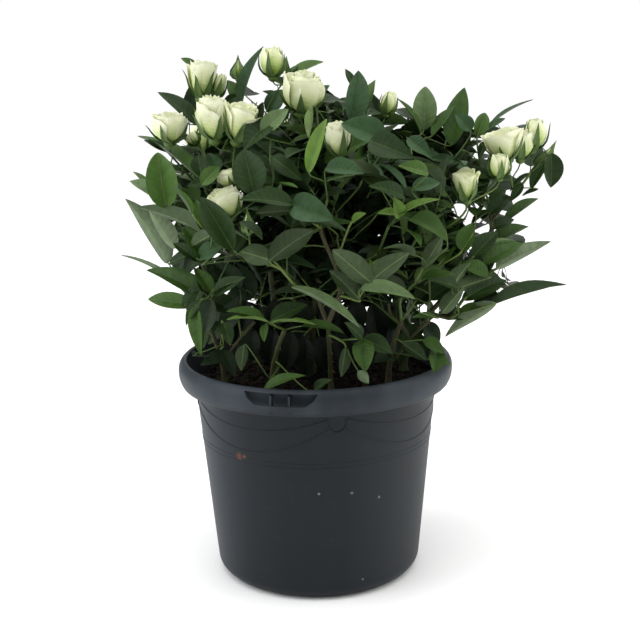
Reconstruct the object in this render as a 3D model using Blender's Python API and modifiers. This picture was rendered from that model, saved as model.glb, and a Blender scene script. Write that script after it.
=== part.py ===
"""A rose bush in its plastic pot: the pot with a rolled rim and two grip windows, the
compost, the canes that rise from it and the masses of foliage and bloom that they carry.

Metres, +Z up, the pot's underside on Z = 0 and its axis on the Z axis. The side that is
seen first faces -Y.
"""

import math
import random

import bmesh
import bpy
from mathutils import Vector, noise

# Driving dimensions of the pot.
RIM_RADIUS = 0.110
RIM_TOP = 0.1770
RIM_HEIGHT = 0.0200
LIP_RADIUS = 0.1027
NECK_RADIUS = 0.0967
NECK_HEIGHT = 0.1555
FOOT_RADIUS = 0.0820
CORNER_RADIUS = 0.012
WALL = 0.0018
FLOOR = 0.0022
POT_STEPS = 40

# The windows cut in the rim to grip the pot by, and the ribs that show in them.
WINDOW_AZIMUTHS = (-13.9, 166.1)
WINDOW_HALF_TOP = 15.0
WINDOW_HALF_BOTTOM = 11.7
WINDOW_LOW = 0.1652
WINDOW_HIGH = 0.1745
RIB_OFFSET = 3.7
RIB_WIDTH = 0.0014

DRAIN_HOLES = 6
DRAIN_RADIUS = 0.0045
DRAIN_RING = 0.048

# The compost, and the gap that keeps touching pieces apart.
COMPOST_TOP = 0.1600
GAP = 0.0003

# Canes: foot on the compost, tip, foot radius, tip radius, and the masses that they enter.
CANE_POINTS = 7
CANE_FLARE = 1.4
CANE_BURIED = 0.003
CANES = {
    "cane_left": ((-0.071, -0.028), (-0.085, -0.034, 0.216), 0.0024, 0.0015, ("foliage_low_left",)),
    "cane_front_left": ((-0.034, -0.046), (-0.022, -0.072, 0.214), 0.0023, 0.0015, ("foliage_low_front",)),
    "cane_front": ((0.012, -0.042), (0.010, -0.068, 0.216), 0.0021, 0.0014, ("foliage_low_front",)),
    "cane_front_right": ((0.057, -0.032), (0.066, -0.050, 0.214), 0.0024, 0.0016, ("foliage_low_right",)),
    "cane_right": ((0.072, 0.012), (0.108, 0.008, 0.222), 0.0030, 0.0020, ("foliage_low_right",)),
    "cane_centre": ((-0.004, 0.004), (0.010, 0.000, 0.262), 0.0036, 0.0024, ("foliage_core",)),
    "cane_centre_left": ((-0.030, 0.010), (-0.036, -0.004, 0.262), 0.0030, 0.0020, ("foliage_core",)),
    "cane_back_right": ((0.044, 0.048), (0.058, 0.062, 0.216), 0.0028, 0.0018, ("foliage_low_back",)),
    "cane_back": ((0.002, 0.060), (0.000, 0.082, 0.214), 0.0026, 0.0017, ("foliage_low_back",)),
    "cane_back_left": ((-0.050, 0.044), (-0.066, 0.064, 0.216), 0.0027, 0.0017, ("foliage_low_back",)),
}

# Boughs: parent cane, share of the way along it, tip, base and tip radius, masses entered.
BOUGHS = {
    "bough_left": ("cane_left", 0.34, (-0.046, -0.034, 0.212), 0.0016, 0.0013, ("foliage_low_left",)),
    "bough_right": ("cane_front_right", 0.40, (0.092, -0.040, 0.216), 0.0016, 0.0013, ("foliage_low_right",)),
    "bough_back": ("cane_back", 0.36, (0.026, 0.078, 0.214), 0.0017, 0.0013, ("foliage_low_back",)),
}

# Masses: centre, half sizes, and the furthest leaf tips and blooms that each one reaches.
UNEVENNESS = 0.22
TIP_SPREAD = math.radians(15)
MASSES = {
    "foliage_low_left": ((-0.072, -0.050, 0.224), (0.056, 0.056, 0.038),
                         ((-0.127, -0.020, 0.226), (-0.100, -0.036, 0.190), (-0.092, -0.112, 0.214))),
    "foliage_low_front": ((-0.008, -0.078, 0.228), (0.052, 0.056, 0.040),
                          ((-0.004, -0.142, 0.226), (0.036, -0.128, 0.206))),
    "foliage_low_right": ((0.078, -0.040, 0.226), (0.062, 0.064, 0.038),
                          ((0.148, -0.030, 0.222), (0.112, 0.004, 0.190), (0.092, -0.116, 0.216))),
    "foliage_low_back": ((0.000, 0.072, 0.228), (0.096, 0.062, 0.040),
                         ((-0.108, 0.084, 0.222), (0.116, 0.086, 0.224), (0.010, 0.144, 0.214))),
    "foliage_core": ((0.004, 0.004, 0.286), (0.060, 0.054, 0.060), ()),
    "foliage_left": ((-0.094, -0.012, 0.288), (0.054, 0.056, 0.048),
                     ((-0.152, 0.000, 0.259), (-0.146, 0.010, 0.304))),
    "foliage_front_left": ((-0.046, -0.074, 0.298), (0.052, 0.056, 0.052),
                           ((-0.062, -0.138, 0.292), (-0.040, -0.134, 0.330))),
    "foliage_front": ((0.026, -0.082, 0.292), (0.052, 0.056, 0.050),
                      ((0.020, -0.145, 0.282), (0.050, -0.138, 0.314))),
    "foliage_front_right": ((0.088, -0.058, 0.290), (0.052, 0.058, 0.048),
                            ((0.110, -0.118, 0.282), (0.128, -0.100, 0.250))),
    "foliage_right": ((0.136, 0.004, 0.268), (0.054, 0.058, 0.050),
                      ((0.193, -0.030, 0.237), (0.183, -0.016, 0.269), (0.186, 0.040, 0.288))),
    "foliage_top": ((0.056, -0.012, 0.350), (0.050, 0.054, 0.044),
                    ((0.029, 0.000, 0.401), (0.062, -0.010, 0.394), (0.091, 0.010, 0.389))),
    "bloom_spray_left": ((-0.078, -0.026, 0.360), (0.048, 0.052, 0.042),
                         ((-0.078, -0.010, 0.414), (-0.126, -0.022, 0.362), (-0.098, 0.010, 0.409),
                          (-0.119, 0.026, 0.383), (-0.141, 0.020, 0.345))),
    "bloom_spray_centre": ((-0.010, -0.026, 0.362), (0.040, 0.050, 0.042),
                           ((-0.028, -0.010, 0.420), (-0.040, 0.016, 0.416), (-0.002, -0.030, 0.407),
                            (0.012, 0.018, 0.406))),
    "bloom_spray_right": ((0.140, -0.012, 0.334), (0.050, 0.056, 0.040),
                          ((0.119, 0.020, 0.382), (0.158, -0.030, 0.364), (0.176, 0.000, 0.366),
                           (0.176, 0.040, 0.373), (0.192, 0.000, 0.319))),
    "foliage_back_left": ((-0.080, 0.060, 0.306), (0.058, 0.060, 0.058),
                          ((-0.130, 0.106, 0.292), (-0.102, 0.102, 0.352))),
    "foliage_back": ((0.000, 0.082, 0.324), (0.056, 0.056, 0.062),
                     ((0.004, 0.148, 0.318), (0.012, 0.074, 0.404), (-0.042, 0.078, 0.396))),
    "foliage_back_right": ((0.086, 0.066, 0.302), (0.060, 0.058, 0.058),
                           ((0.150, 0.106, 0.292), (0.116, 0.108, 0.350), (0.092, 0.062, 0.378))),
}
SOCKET_CLEARANCE = 0.0004

COLOURS = {
    "pot_plastic": ((0.034, 0.039, 0.044), 0.58),
    "compost": ((0.016, 0.011, 0.008), 0.95),
    "cane_bark": ((0.090, 0.110, 0.040), 0.70),
    "foliage": ((0.045, 0.090, 0.030), 0.75),
    "bloom_spray": ((0.120, 0.170, 0.070), 0.75),
}


def clear_scene():
    for old in list(bpy.data.objects):
        bpy.data.objects.remove(old)


def new_collection(name):
    collection = bpy.data.collections.new(name)
    bpy.context.scene.collection.children.link(collection)
    return collection


def new_material(name):
    colour, roughness = COLOURS[name]
    material = bpy.data.materials.new(name)
    material.use_nodes = True
    shader = material.node_tree.nodes["Principled BSDF"]
    shader.inputs["Base Color"].default_value = (*colour, 1.0)
    shader.inputs["Roughness"].default_value = roughness
    shader.inputs["Metallic"].default_value = 0.0
    return material


def add_object(name, mesh, collection, material=None):
    piece = bpy.data.objects.new(name, mesh)
    collection.objects.link(piece)
    if material:
        mesh.materials.append(material)
    return piece


def mesh_from(shape, name):
    """The bmesh written to a new mesh with its normals facing out."""
    bmesh.ops.recalc_face_normals(shape, faces=shape.faces)
    mesh = bpy.data.meshes.new(name)
    shape.to_mesh(mesh)
    shape.free()
    return mesh


def hide_cutter(cutter):
    cutter.hide_render = True
    cutter.display_type = "WIRE"


def add_boolean(piece, cutter, operation="DIFFERENCE"):
    boolean = piece.modifiers.new(f"{operation.lower()} {cutter.name}", "BOOLEAN")
    boolean.operation = operation
    boolean.solver = "EXACT"
    boolean.object = cutter


# ---- turned pieces


def turned(name, profile, collection, material):
    """A closed body turned about Z from a profile of (radius, height) points."""
    mesh = bpy.data.meshes.new(name)
    edges = [(i, i + 1) for i in range(len(profile) - 1)]
    mesh.from_pydata([(radius, 0, height) for radius, height in profile], edges, [])
    piece = add_object(name, mesh, collection, material)
    screw = piece.modifiers.new("turn", "SCREW")
    screw.steps = screw.render_steps = POT_STEPS
    screw.use_merge_vertices = True
    screw.merge_threshold = 0.00001
    screw.use_smooth_shade = True
    return piece


def outer_radius(height):
    """The pot's outer radius on its straight taper."""
    return FOOT_RADIUS + (NECK_RADIUS - FOOT_RADIUS) * height / NECK_HEIGHT


def arc(centre, radius, start, end, points):
    """(radius, height) points on an arc, its angles in degrees from +X."""
    angles = [math.radians(start + (end - start) * i / (points - 1)) for i in range(points)]
    return [(centre[0] + radius * math.cos(a), centre[1] + radius * math.sin(a)) for a in angles]


def pot_profile():
    """Up the inside, over the rolled rim, down the collar, up inside it and down the body."""
    inner_corner = CORNER_RADIUS - WALL
    inner_foot = outer_radius(CORNER_RADIUS) - WALL - inner_corner
    inside = [(0, FLOOR), *arc((inner_foot, FLOOR + inner_corner), inner_corner, -90, 0, 3)]
    inside += [(NECK_RADIUS - WALL, NECK_HEIGHT), (LIP_RADIUS, RIM_TOP - 0.0040)]
    rim_bottom = RIM_TOP - RIM_HEIGHT
    bulge = RIM_TOP - 0.0090
    rim = [
        (LIP_RADIUS + 0.0004, RIM_TOP - 0.0010),
        (LIP_RADIUS + 0.0020, RIM_TOP),
        (RIM_RADIUS - 0.0030, RIM_TOP - 0.0012),
        (RIM_RADIUS - 0.0008, RIM_TOP - 0.0045),
        (RIM_RADIUS, bulge),
        (RIM_RADIUS - 0.0007, bulge - 0.0060),
        (RIM_RADIUS - 0.0028, rim_bottom),
    ]
    collar = [
        (RIM_RADIUS - 0.0028 - WALL, rim_bottom + 0.0006),
        (RIM_RADIUS - WALL, bulge),
        (RIM_RADIUS - 0.0012 - WALL, RIM_TOP - 0.0036),
        (LIP_RADIUS + WALL, RIM_TOP - 0.0036),
    ]
    foot_centre = (outer_radius(CORNER_RADIUS) - CORNER_RADIUS, CORNER_RADIUS)
    body = [(NECK_RADIUS, NECK_HEIGHT), *arc(foot_centre, CORNER_RADIUS, 0, -90, 5), (0, 0)]
    return inside + rim + collar + body


def curved_panel(name, azimuth, collection):
    """The cutter for one grip window: a panel bent round the rim, narrower at its foot."""
    shape = bmesh.new()
    bmesh.ops.create_grid(shape, x_segments=10, y_segments=1, size=1.0)
    for vertex in shape.verts:
        across, up = vertex.co.x, (vertex.co.y + 1) / 2
        half = WINDOW_HALF_BOTTOM + (WINDOW_HALF_TOP - WINDOW_HALF_BOTTOM) * up
        angle = math.radians(azimuth + across * half)
        radius = LIP_RADIUS + WALL + 0.0008
        height = WINDOW_LOW + (WINDOW_HIGH - WINDOW_LOW) * up
        vertex.co = (radius * math.sin(angle), -radius * math.cos(angle), height)
    cutter = add_object(name, mesh_from(shape, name), collection)
    bent = cutter.modifiers.new("thicken", "SOLIDIFY")
    bent.thickness = RIM_RADIUS - LIP_RADIUS + 0.002
    outward = cutter.data.polygons[0].normal.dot(cutter.data.polygons[0].center)
    bent.offset = 1.0 if outward > 0 else -1.0
    hide_cutter(cutter)
    return cutter


def rib(name, azimuth, collection):
    """A radial plate that ties the collar to the wall."""
    inner, outer = LIP_RADIUS + WALL / 2, RIM_RADIUS - WALL / 2
    low, high = RIM_TOP - RIM_HEIGHT + 0.002, WINDOW_HIGH - 0.0016
    shape = bmesh.new()
    bmesh.ops.create_cube(shape, size=1.0)
    for vertex in shape.verts:
        vertex.co.x *= RIB_WIDTH
        vertex.co.y = -((inner + outer) / 2 + vertex.co.y * (outer - inner))
        vertex.co.z = (low + high) / 2 + vertex.co.z * (high - low)
    plate = add_object(name, mesh_from(shape, name), collection)
    plate.rotation_euler.z = math.radians(azimuth)
    hide_cutter(plate)
    return plate


def drain_hole(name, index, collection):
    angle = 2 * math.pi * index / DRAIN_HOLES
    bpy.ops.mesh.primitive_cylinder_add(
        vertices=12, radius=DRAIN_RADIUS, depth=4 * FLOOR,
        location=(DRAIN_RING * math.cos(angle), DRAIN_RING * math.sin(angle), 0))
    cutter = bpy.context.object
    cutter.name = name
    for owner in list(cutter.users_collection):
        owner.objects.unlink(cutter)
    collection.objects.link(cutter)
    hide_cutter(cutter)
    return cutter


def make_pot(parts, cutters):
    pot = turned("pot", pot_profile(), parts, new_material("pot_plastic"))
    for number, azimuth in enumerate(WINDOW_AZIMUTHS):
        add_boolean(pot, curved_panel(f"window_cutter_{number}", azimuth, cutters))
        for side in (-1, 1):
            plate = rib(f"rib_{number}_{side}", azimuth + side * RIB_OFFSET, cutters)
            add_boolean(pot, plate, "UNION")
    for index in range(DRAIN_HOLES):
        add_boolean(pot, drain_hole(f"drain_cutter_{index}", index, cutters))


def make_compost(parts):
    """Compost that fills the pot to just under its neck, clear of the wall by the gap."""
    inner_corner = CORNER_RADIUS - WALL
    inner_foot = outer_radius(CORNER_RADIUS) - WALL - inner_corner
    corner = arc((inner_foot, FLOOR + inner_corner), inner_corner - GAP, 0, -90, 3)
    share = (COMPOST_TOP - NECK_HEIGHT) / (RIM_TOP - 0.0040 - NECK_HEIGHT)
    neck = NECK_RADIUS - WALL
    edge = neck + (LIP_RADIUS - neck) * share
    profile = [(0, COMPOST_TOP), (edge - GAP * 1.2, COMPOST_TOP), (neck - GAP, NECK_HEIGHT)]
    profile += [*corner, (0, FLOOR + GAP)]
    turned("compost", profile, parts, new_material("compost"))


# ---- canes and boughs


def limb_path(base, tip, rise, lean=0.0):
    """Points on a curve that leaves its base upwards, or leaning, and bends to its tip."""
    base, tip = Vector(base), Vector(tip)
    pull = base + Vector((0, 0, rise)) + (tip - base) * lean
    points = []
    for i in range(CANE_POINTS):
        t = i / (CANE_POINTS - 1)
        points.append(base * (1 - t) ** 2 + pull * (2 * t * (1 - t)) + tip * t * t)
    return points


def limb_mesh(name, path, base_radius, tip_radius, flare=1.0, extra=0.0, flat_foot=None):
    """A tapering tube along the path with welded caps, fatter by extra all round, and cut
    level at flat_foot."""
    curve = bpy.data.curves.new(name, "CURVE")
    curve.dimensions = "3D"
    curve.bevel_depth = 1.0
    curve.bevel_resolution = 2
    curve.use_fill_caps = True
    spline = curve.splines.new("POLY")
    spline.points.add(len(path) - 1)
    longer = path[-1] + (path[-1] - path[-2]).normalized() * extra
    for i, point in enumerate([*path[:-1], longer]):
        t = i / (len(path) - 1)
        swell = 1 + (flare - 1) * max(0.0, 1 - t * 6)
        spline.points[i].co = (*point, 1)
        spline.points[i].radius = (base_radius + (tip_radius - base_radius) * t) * swell + extra
    guide = bpy.data.objects.new(name, curve)
    bpy.context.scene.collection.objects.link(guide)
    bpy.context.view_layer.update()
    graph = bpy.context.evaluated_depsgraph_get()
    mesh = bpy.data.meshes.new_from_object(guide.evaluated_get(graph))
    bpy.data.objects.remove(guide)
    shape = bmesh.new()
    shape.from_mesh(mesh)
    bmesh.ops.remove_doubles(shape, verts=shape.verts, dist=0.00002)
    bpy.data.meshes.remove(mesh)
    if flat_foot is not None:
        cut = bmesh.ops.bisect_plane(
            shape, geom=shape.verts[:] + shape.edges[:] + shape.faces[:], dist=0.000001,
            plane_co=(0, 0, flat_foot), plane_no=(0, 0, 1), clear_inner=True)
        rim = [item for item in cut["geom_cut"] if isinstance(item, bmesh.types.BMEdge)]
        bmesh.ops.holes_fill(shape, edges=rim)
    return mesh_from(shape, name)


def limb_cutter(name, path, base_radius, tip_radius, cutters):
    mesh = limb_mesh(name, path, base_radius, tip_radius, extra=SOCKET_CLEARANCE)
    cutter = add_object(name, mesh, cutters)
    hide_cutter(cutter)
    return cutter


def make_limbs(parts, cutters):
    """Every cane and bough, and for each mass the cutters of the limbs that enter it."""
    bark = new_material("cane_bark")
    sockets = {name: [] for name in MASSES}
    paths = {}
    for name, (foot, tip, base_radius, tip_radius, masses) in CANES.items():
        paths[name] = limb_path((*foot, COMPOST_TOP - CANE_BURIED), tip, 0.5 * (tip[2] - COMPOST_TOP))
        mesh = limb_mesh(name, paths[name], base_radius, tip_radius, CANE_FLARE,
                         flat_foot=COMPOST_TOP + GAP)
        add_object(name, mesh, parts, bark)
        cutter = limb_cutter(f"{name}_cutter", paths[name], base_radius, tip_radius, cutters)
        for mass in masses:
            sockets[mass].append(cutter)
    for name, (parent, share, tip, base_radius, tip_radius, masses) in BOUGHS.items():
        base = paths[parent][round(share * (CANE_POINTS - 1))]
        path = limb_path(base, tip, 0.1 * (tip[2] - base.z), lean=0.4)
        bough = add_object(name, limb_mesh(name, path, base_radius, tip_radius), parts, bark)
        add_boolean(bough, bpy.data.objects[f"{parent}_cutter"])
        cutter = limb_cutter(f"{name}_cutter", path, base_radius, tip_radius, cutters)
        for mass in masses:
            sockets[mass].append(cutter)
    return sockets


# ---- masses of foliage and bloom


def reach_towards(direction, radii):
    """How far an ellipsoid with these half sizes reaches along a unit direction."""
    return 1 / math.sqrt(sum((d / r) ** 2 for d, r in zip(direction, radii)))


def neighbour_planes(name):
    """The planes, as a distance from the mass's centre and a unit direction, that keep it
    out of each other mass and leave half the gap on its side."""
    centre, radii, _ = MASSES[name]
    planes = []
    for other, (other_centre, other_radii, _) in MASSES.items():
        if other != name:
            between = Vector(other_centre) - Vector(centre)
            own = reach_towards(between.normalized(), radii)
            share = own / (own + reach_towards(between.normalized(), other_radii))
            planes.append((between.length * share - GAP, between.normalized()))
    return planes


def uneven_ball(name, seed):
    """A ball swollen to the mass's half sizes, uneven all over, with a point drawn out to
    each of its tips, and flat where it meets its neighbours."""
    centre, radii, tips = MASSES[name]
    centre = Vector(centre)
    aims = [Vector(tip) - centre for tip in tips]
    planes = neighbour_planes(name)
    shift = Vector((7.3, 3.1, 5.7)) * seed
    shape = bmesh.new()
    bmesh.ops.create_icosphere(shape, subdivisions=3, radius=1.0)
    directions = {vertex: vertex.co.normalized() for vertex in shape.verts}
    for aim in aims:
        nearest = max(directions, key=lambda vertex: directions[vertex].dot(aim.normalized()))
        directions[nearest] = aim.normalized()
    for vertex, direction in directions.items():
        bumps = noise.noise(direction * 2.3 + shift) + 0.6 * noise.noise(direction * 4.9 + shift)
        reach = reach_towards(direction, radii) * (1 + UNEVENNESS * bumps)
        for aim in aims:
            angle = direction.angle(aim)
            draw = 1.0 if angle < 0.001 else 0.55 * math.exp(-((angle / TIP_SPREAD) ** 2))
            reach += max(0.0, aim.length - reach) * draw
        for distance, normal in planes:
            slope = direction.dot(normal)
            if slope > 0:
                reach = min(reach, distance / slope)
        vertex.co = centre + direction * reach
    return shape


def make_masses(parts, sockets):
    materials = {kind: new_material(kind) for kind in ("foliage", "bloom_spray")}
    random.seed(11)
    for name in MASSES:
        shape = uneven_ball(name, random.uniform(0, 20))
        kind = "bloom_spray" if name.startswith("bloom_spray") else "foliage"
        mass = add_object(name, mesh_from(shape, name), parts, materials[kind])
        for cutter in sockets[name]:
            add_boolean(mass, cutter)


clear_scene()
part_pieces = new_collection("potted rose bush")
cutting_pieces = new_collection("cutters")
make_pot(part_pieces, cutting_pieces)
make_compost(part_pieces)
make_masses(part_pieces, make_limbs(part_pieces, cutting_pieces))
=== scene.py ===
"""A rose bush in bud and bloom, in the plastic pot that it was grown in.

Metres, +Z up, the pot's underside on Z = 0 and its axis on the Z axis. The side that is
seen first faces -Y.
"""

import math
import random

import bmesh
import bpy
import numpy as np
from mathutils import Matrix, Vector, noise
from numpy.linalg import norm


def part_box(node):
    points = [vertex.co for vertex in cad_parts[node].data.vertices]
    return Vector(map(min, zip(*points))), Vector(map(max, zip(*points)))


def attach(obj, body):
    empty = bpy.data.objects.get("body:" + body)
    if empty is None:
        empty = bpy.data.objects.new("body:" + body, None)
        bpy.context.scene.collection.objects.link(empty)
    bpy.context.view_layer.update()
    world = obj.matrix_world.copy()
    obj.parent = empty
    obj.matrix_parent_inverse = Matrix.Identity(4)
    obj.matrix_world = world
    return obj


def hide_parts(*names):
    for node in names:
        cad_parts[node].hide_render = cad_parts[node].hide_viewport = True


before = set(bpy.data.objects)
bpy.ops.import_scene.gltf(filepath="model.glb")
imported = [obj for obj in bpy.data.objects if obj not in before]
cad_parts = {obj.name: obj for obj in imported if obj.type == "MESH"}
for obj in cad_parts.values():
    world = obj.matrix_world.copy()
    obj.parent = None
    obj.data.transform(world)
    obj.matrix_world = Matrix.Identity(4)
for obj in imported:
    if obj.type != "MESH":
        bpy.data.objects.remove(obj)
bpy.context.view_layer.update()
bpy.ops.object.select_all(action="DESELECT")


# ---- The studio
# A pale floor that runs out of sight, a soft light on each side, one overhead and one
# behind, and a camera a little above the crown, looking down into it.
EYE = Vector((0.0044, -0.9723, 0.4325))
EYE_DOWN = math.radians(13.2)
EYE_ROLL = math.radians(-1.06)
LENS = 70.1
SENSOR = 36.0
IMAGE_SIDE = 640
HALF_IMAGE = IMAGE_SIDE / 2
FOCAL = IMAGE_SIDE * LENS / SENSOR


def placed(name, data):
    """A new object with this data, in the scene."""
    body = bpy.data.objects.new(name, data)
    bpy.context.scene.collection.objects.link(body)
    return body


eye_matrix = (Matrix.Translation(EYE) @ Matrix.Rotation(math.pi / 2 - EYE_DOWN, 4, "X")
              @ Matrix.Rotation(EYE_ROLL, 4, "Z"))
camera_data = bpy.data.cameras.new("camera")
camera_data.lens, camera_data.sensor_width = LENS, SENSOR
camera_data.clip_start = 0.01
camera = placed("camera", camera_data)
camera.matrix_world = eye_matrix
bpy.context.scene.camera = camera
bpy.context.scene.view_settings.view_transform = "Standard"


def spot(across, down, depth):
    """The point at this depth, in mm along +Y, that shows at this place in the frame."""
    ray = eye_matrix.to_3x3() @ Vector(((across - HALF_IMAGE) / FOCAL,
                                        (HALF_IMAGE - down) / FOCAL, -1))
    return EYE + ray * ((depth / 1000 - EYE.y) / ray.y)


def shows_at(points):
    """Where points show in the frame, and how far in front of the camera they are."""
    eye = np.array(eye_matrix.inverted())
    seen = np.asarray(points, float) @ eye[:3, :3].T + eye[:3, 3]
    return (HALF_IMAGE - FOCAL * seen[:, 0] / seen[:, 2],
            HALF_IMAGE + FOCAL * seen[:, 1] / seen[:, 2], -seen[:, 2])


LIT_HEIGHT = 0.22
LIGHTS = {  # place, side, watts, tint
    "light_left": ((-1.30, -0.35, 0.75), 1.1, 11.0, (0.95, 0.98, 1.0)),
    "light_right": ((1.30, -0.20, 0.70), 1.1, 7.0, (1.0, 1.0, 0.98)),
    "light_top": ((0.0, -0.25, 1.60), 1.3, 8.0, (1.0, 0.99, 0.96)),
    "light_back": ((0.1, 1.40, 0.90), 1.2, 4.0, (1.0, 1.0, 1.0)),
}
for light_name, (place, side, watts, tint) in LIGHTS.items():
    light_data = bpy.data.lights.new(light_name, "AREA")
    light_data.shape, light_data.size = "SQUARE", side
    light_data.energy, light_data.color = watts, tint
    aim = Vector((0, 0, LIT_HEIGHT)) - Vector(place)
    placed(light_name, light_data).matrix_world = (
        Matrix.Translation(place) @ aim.to_track_quat("-Z", "Y").to_matrix().to_4x4())


class Socket:
    """A shader output that sums and products can be written with."""

    def __init__(self, paint, out):
        self.paint, self.out = paint, out

    def math(self, operation, first, second):
        return self.paint.node("ShaderNodeMath", {"operation": operation}, {0: first, 1: second})

    def __add__(self, other):
        return self.math("ADD", self, other)

    def __sub__(self, other):
        return self.math("SUBTRACT", self, other)

    def __rsub__(self, other):
        return self.math("SUBTRACT", other, self)

    def __mul__(self, other):
        return self.math("MULTIPLY", self, other)

    __radd__, __rmul__ = __add__, __mul__


class Mixer:
    """Adds nodes to a tree and feeds its shader."""

    def __init__(self, owner, shader):
        owner.use_nodes = True
        self.tree = owner.node_tree
        self.shader = self.tree.nodes[shader]

    def node(self, kind, settings, inputs, output=0):
        node = self.tree.nodes.new(kind)
        for setting, value in settings.items():
            setattr(node, setting, value)
        for name, value in inputs.items():
            if isinstance(value, Socket):
                self.tree.links.new(value.out, node.inputs[name])
            else:
                node.inputs[name].default_value = value
        return Socket(self, node.outputs[output])

    def part(self, vector, axis):
        return self.node("ShaderNodeSeparateXYZ", {}, {"Vector": vector}, axis)

    def feed(self, socket, value):
        self.tree.links.new(value.out, self.shader.inputs[socket])


class Paint(Mixer):
    """A material whose plain values are set on its shader and whose patterns are nodes."""

    def __init__(self, name, colour, roughness, sheen=0.5, **constants):
        self.material = bpy.data.materials.new(name)
        self.material.diffuse_color = (*colour, 1)
        super().__init__(self.material, "Principled BSDF")
        constants |= {"Base_Color": (*colour, 1), "Roughness": roughness,
                      "Specular_IOR_Level": sheen}
        for socket, value in constants.items():
            self.shader.inputs[socket.replace("_", " ")].default_value = value

    def place(self, stretch=(1, 1, 1)):
        """Places on the object, drawn out by stretch."""
        where = self.node("ShaderNodeTexCoord", {}, {}, "Object")
        return self.node("ShaderNodeMapping", {}, {"Vector": where, "Scale": stretch})

    def speckle(self, where, scale, detail=3.0, roughness=0.55):
        return self.node("ShaderNodeTexNoise", {}, {
            "Vector": where, "Scale": scale, "Detail": detail, "Roughness": roughness}, "Fac")

    def band(self, value, low, high):
        """0 below low, 1 above high and even between."""
        return self.node("ShaderNodeMapRange", {}, {
            "Value": value, "From Min": low, "From Max": high}, "Result")

    def blend(self, factor, first, second):
        return self.node("ShaderNodeMix", {"data_type": "RGBA"}, {
            "Factor": factor, 6: first if isinstance(first, Socket) else (*first, 1),
            7: second if isinstance(second, Socket) else (*second, 1)}, 2)

    def relief(self, height, distance, strength=1.0):
        bump = self.node("ShaderNodeBump", {}, {
            "Height": height, "Distance": distance, "Strength": strength}, "Normal")
        self.feed("Normal", bump)


# The air is even near the horizon and brightens overhead; behind everything it is white.
AIR_LEVEL = 0.25
AIR_OVERHEAD = 1.8
world = bpy.data.worlds.new("studio_air")
bpy.context.scene.world = world
air = Mixer(world, "Background")
up = air.part(air.node("ShaderNodeTexCoord", {}, {}, "Generated"), "Z")
seen_directly = air.node("ShaderNodeLightPath", {}, {}, "Is Camera Ray")
level = up.math("MAXIMUM", up, 0.0)
level = level * level * AIR_OVERHEAD + AIR_LEVEL
air.feed("Strength", level + seen_directly * (1.0 - level))
air.shader.inputs["Color"].default_value = (1, 1, 1, 1)

FLOOR_RADIUS = 12.0
FLOOR_DROP = 0.0004
bpy.ops.mesh.primitive_circle_add(vertices=96, radius=FLOOR_RADIUS, fill_type="NGON",
                                  location=(0, 0, -FLOOR_DROP))
floor = bpy.context.object
floor.name = "studio_floor"
floor_paint = Paint("floor_paper", (0.90, 0.90, 0.90), 0.85)
floor_mottle = floor_paint.speckle(floor_paint.place(), 6.0)
floor_paint.feed("Base Color", floor_paint.blend(
    floor_mottle, (0.89, 0.89, 0.89), (0.92, 0.92, 0.92)))
floor.data.materials.append(floor_paint.material)


# ---- The pot
# A round grower's pot of dark grey polypropylene, moulded in one with a rolled rim that is
# open underneath, two grip windows in it, and garlands and rings in low relief on the wall.
RIM_RADIUS = 0.110
RIM_TOP = 0.1770
RIM_HEIGHT = 0.0200
ROLL_TOP = 0.0036
LIP_RADIUS = 0.1027
NECK_RADIUS = 0.0967
NECK_HEIGHT = 0.1555
FOOT_RADIUS = 0.0820
CORNER_RADIUS = 0.012
WALL = 0.0018
POT_FLOOR = 0.0022
TURN_STEPS = 200
WINDOW_AZIMUTHS = (-13.9, 166.1)
WINDOW_HALF_TOP = 15.0
WINDOW_HALF_BOTTOM = 11.7
WINDOW_LOW = 0.1652
WINDOW_HIGH = 0.1745
WINDOW_CORNER = 0.20
WINDOW_CLEAR = 0.0008
RIB_OFFSET = 3.7
RIB_WIDTH = 0.0014
DRAIN_HOLES = 6
DRAIN_RADIUS = 0.0045
DRAIN_RING = 0.048


def wall_radius(height):
    """The pot's outer radius on its straight taper."""
    return FOOT_RADIUS + (NECK_RADIUS - FOOT_RADIUS) * height / NECK_HEIGHT


def arc(centre, radius, start, end, points):
    """(radius, height) points on an arc, its angles in degrees from +X."""
    angles = [math.radians(start + (end - start) * i / (points - 1)) for i in range(points)]
    return [(centre[0] + radius * math.cos(a), centre[1] + radius * math.sin(a)) for a in angles]


def eased(points, steps):
    """A smooth line through the points, with steps short pieces between each two."""
    points = [Vector(point) for point in points]
    ends = [points[0] * 2 - points[1], *points, points[-1] * 2 - points[-2]]
    line = []
    for i in range(len(points) - 1):
        a, b, c, d = ends[i:i + 4]
        for step in range(steps):
            t = step / steps
            line.append(0.5 * (2 * b + (c - a) * t + (2 * a - 5 * b + 4 * c - d) * t ** 2
                               + (3 * b - a - 3 * c + d) * t ** 3))
    return [*line, points[-1]]


def around(azimuth, radius, height):
    """A point round the Z axis, its azimuth in degrees from -Y towards +X."""
    angle = math.radians(azimuth)
    return Vector((radius * math.sin(angle), -radius * math.cos(angle), height))


def wall_point(azimuth, height, proud=0.0):
    return around(azimuth, wall_radius(height) + proud, height)


def turned(name, profile, steps):
    """A closed body turned about Z from a profile of (radius, height) points."""
    mesh = bpy.data.meshes.new(name)
    edges = [(i, i + 1) for i in range(len(profile) - 1)]
    mesh.from_pydata([(radius, 0, height) for radius, height in profile], edges, [])
    body = placed(name, mesh)
    screw = body.modifiers.new("turn", "SCREW")
    screw.steps = screw.render_steps = steps
    screw.use_merge_vertices = True
    screw.merge_threshold = 0.00001
    screw.use_smooth_shade = True
    return body


def settle(piece, slot, *nodes):
    """Hands a finished piece to the frame: the root carries it and the parts it replaces are
    hidden. Its finish, slot, is not used.
    """
    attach(piece, "root")
    if nodes:
        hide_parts(*nodes)


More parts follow.
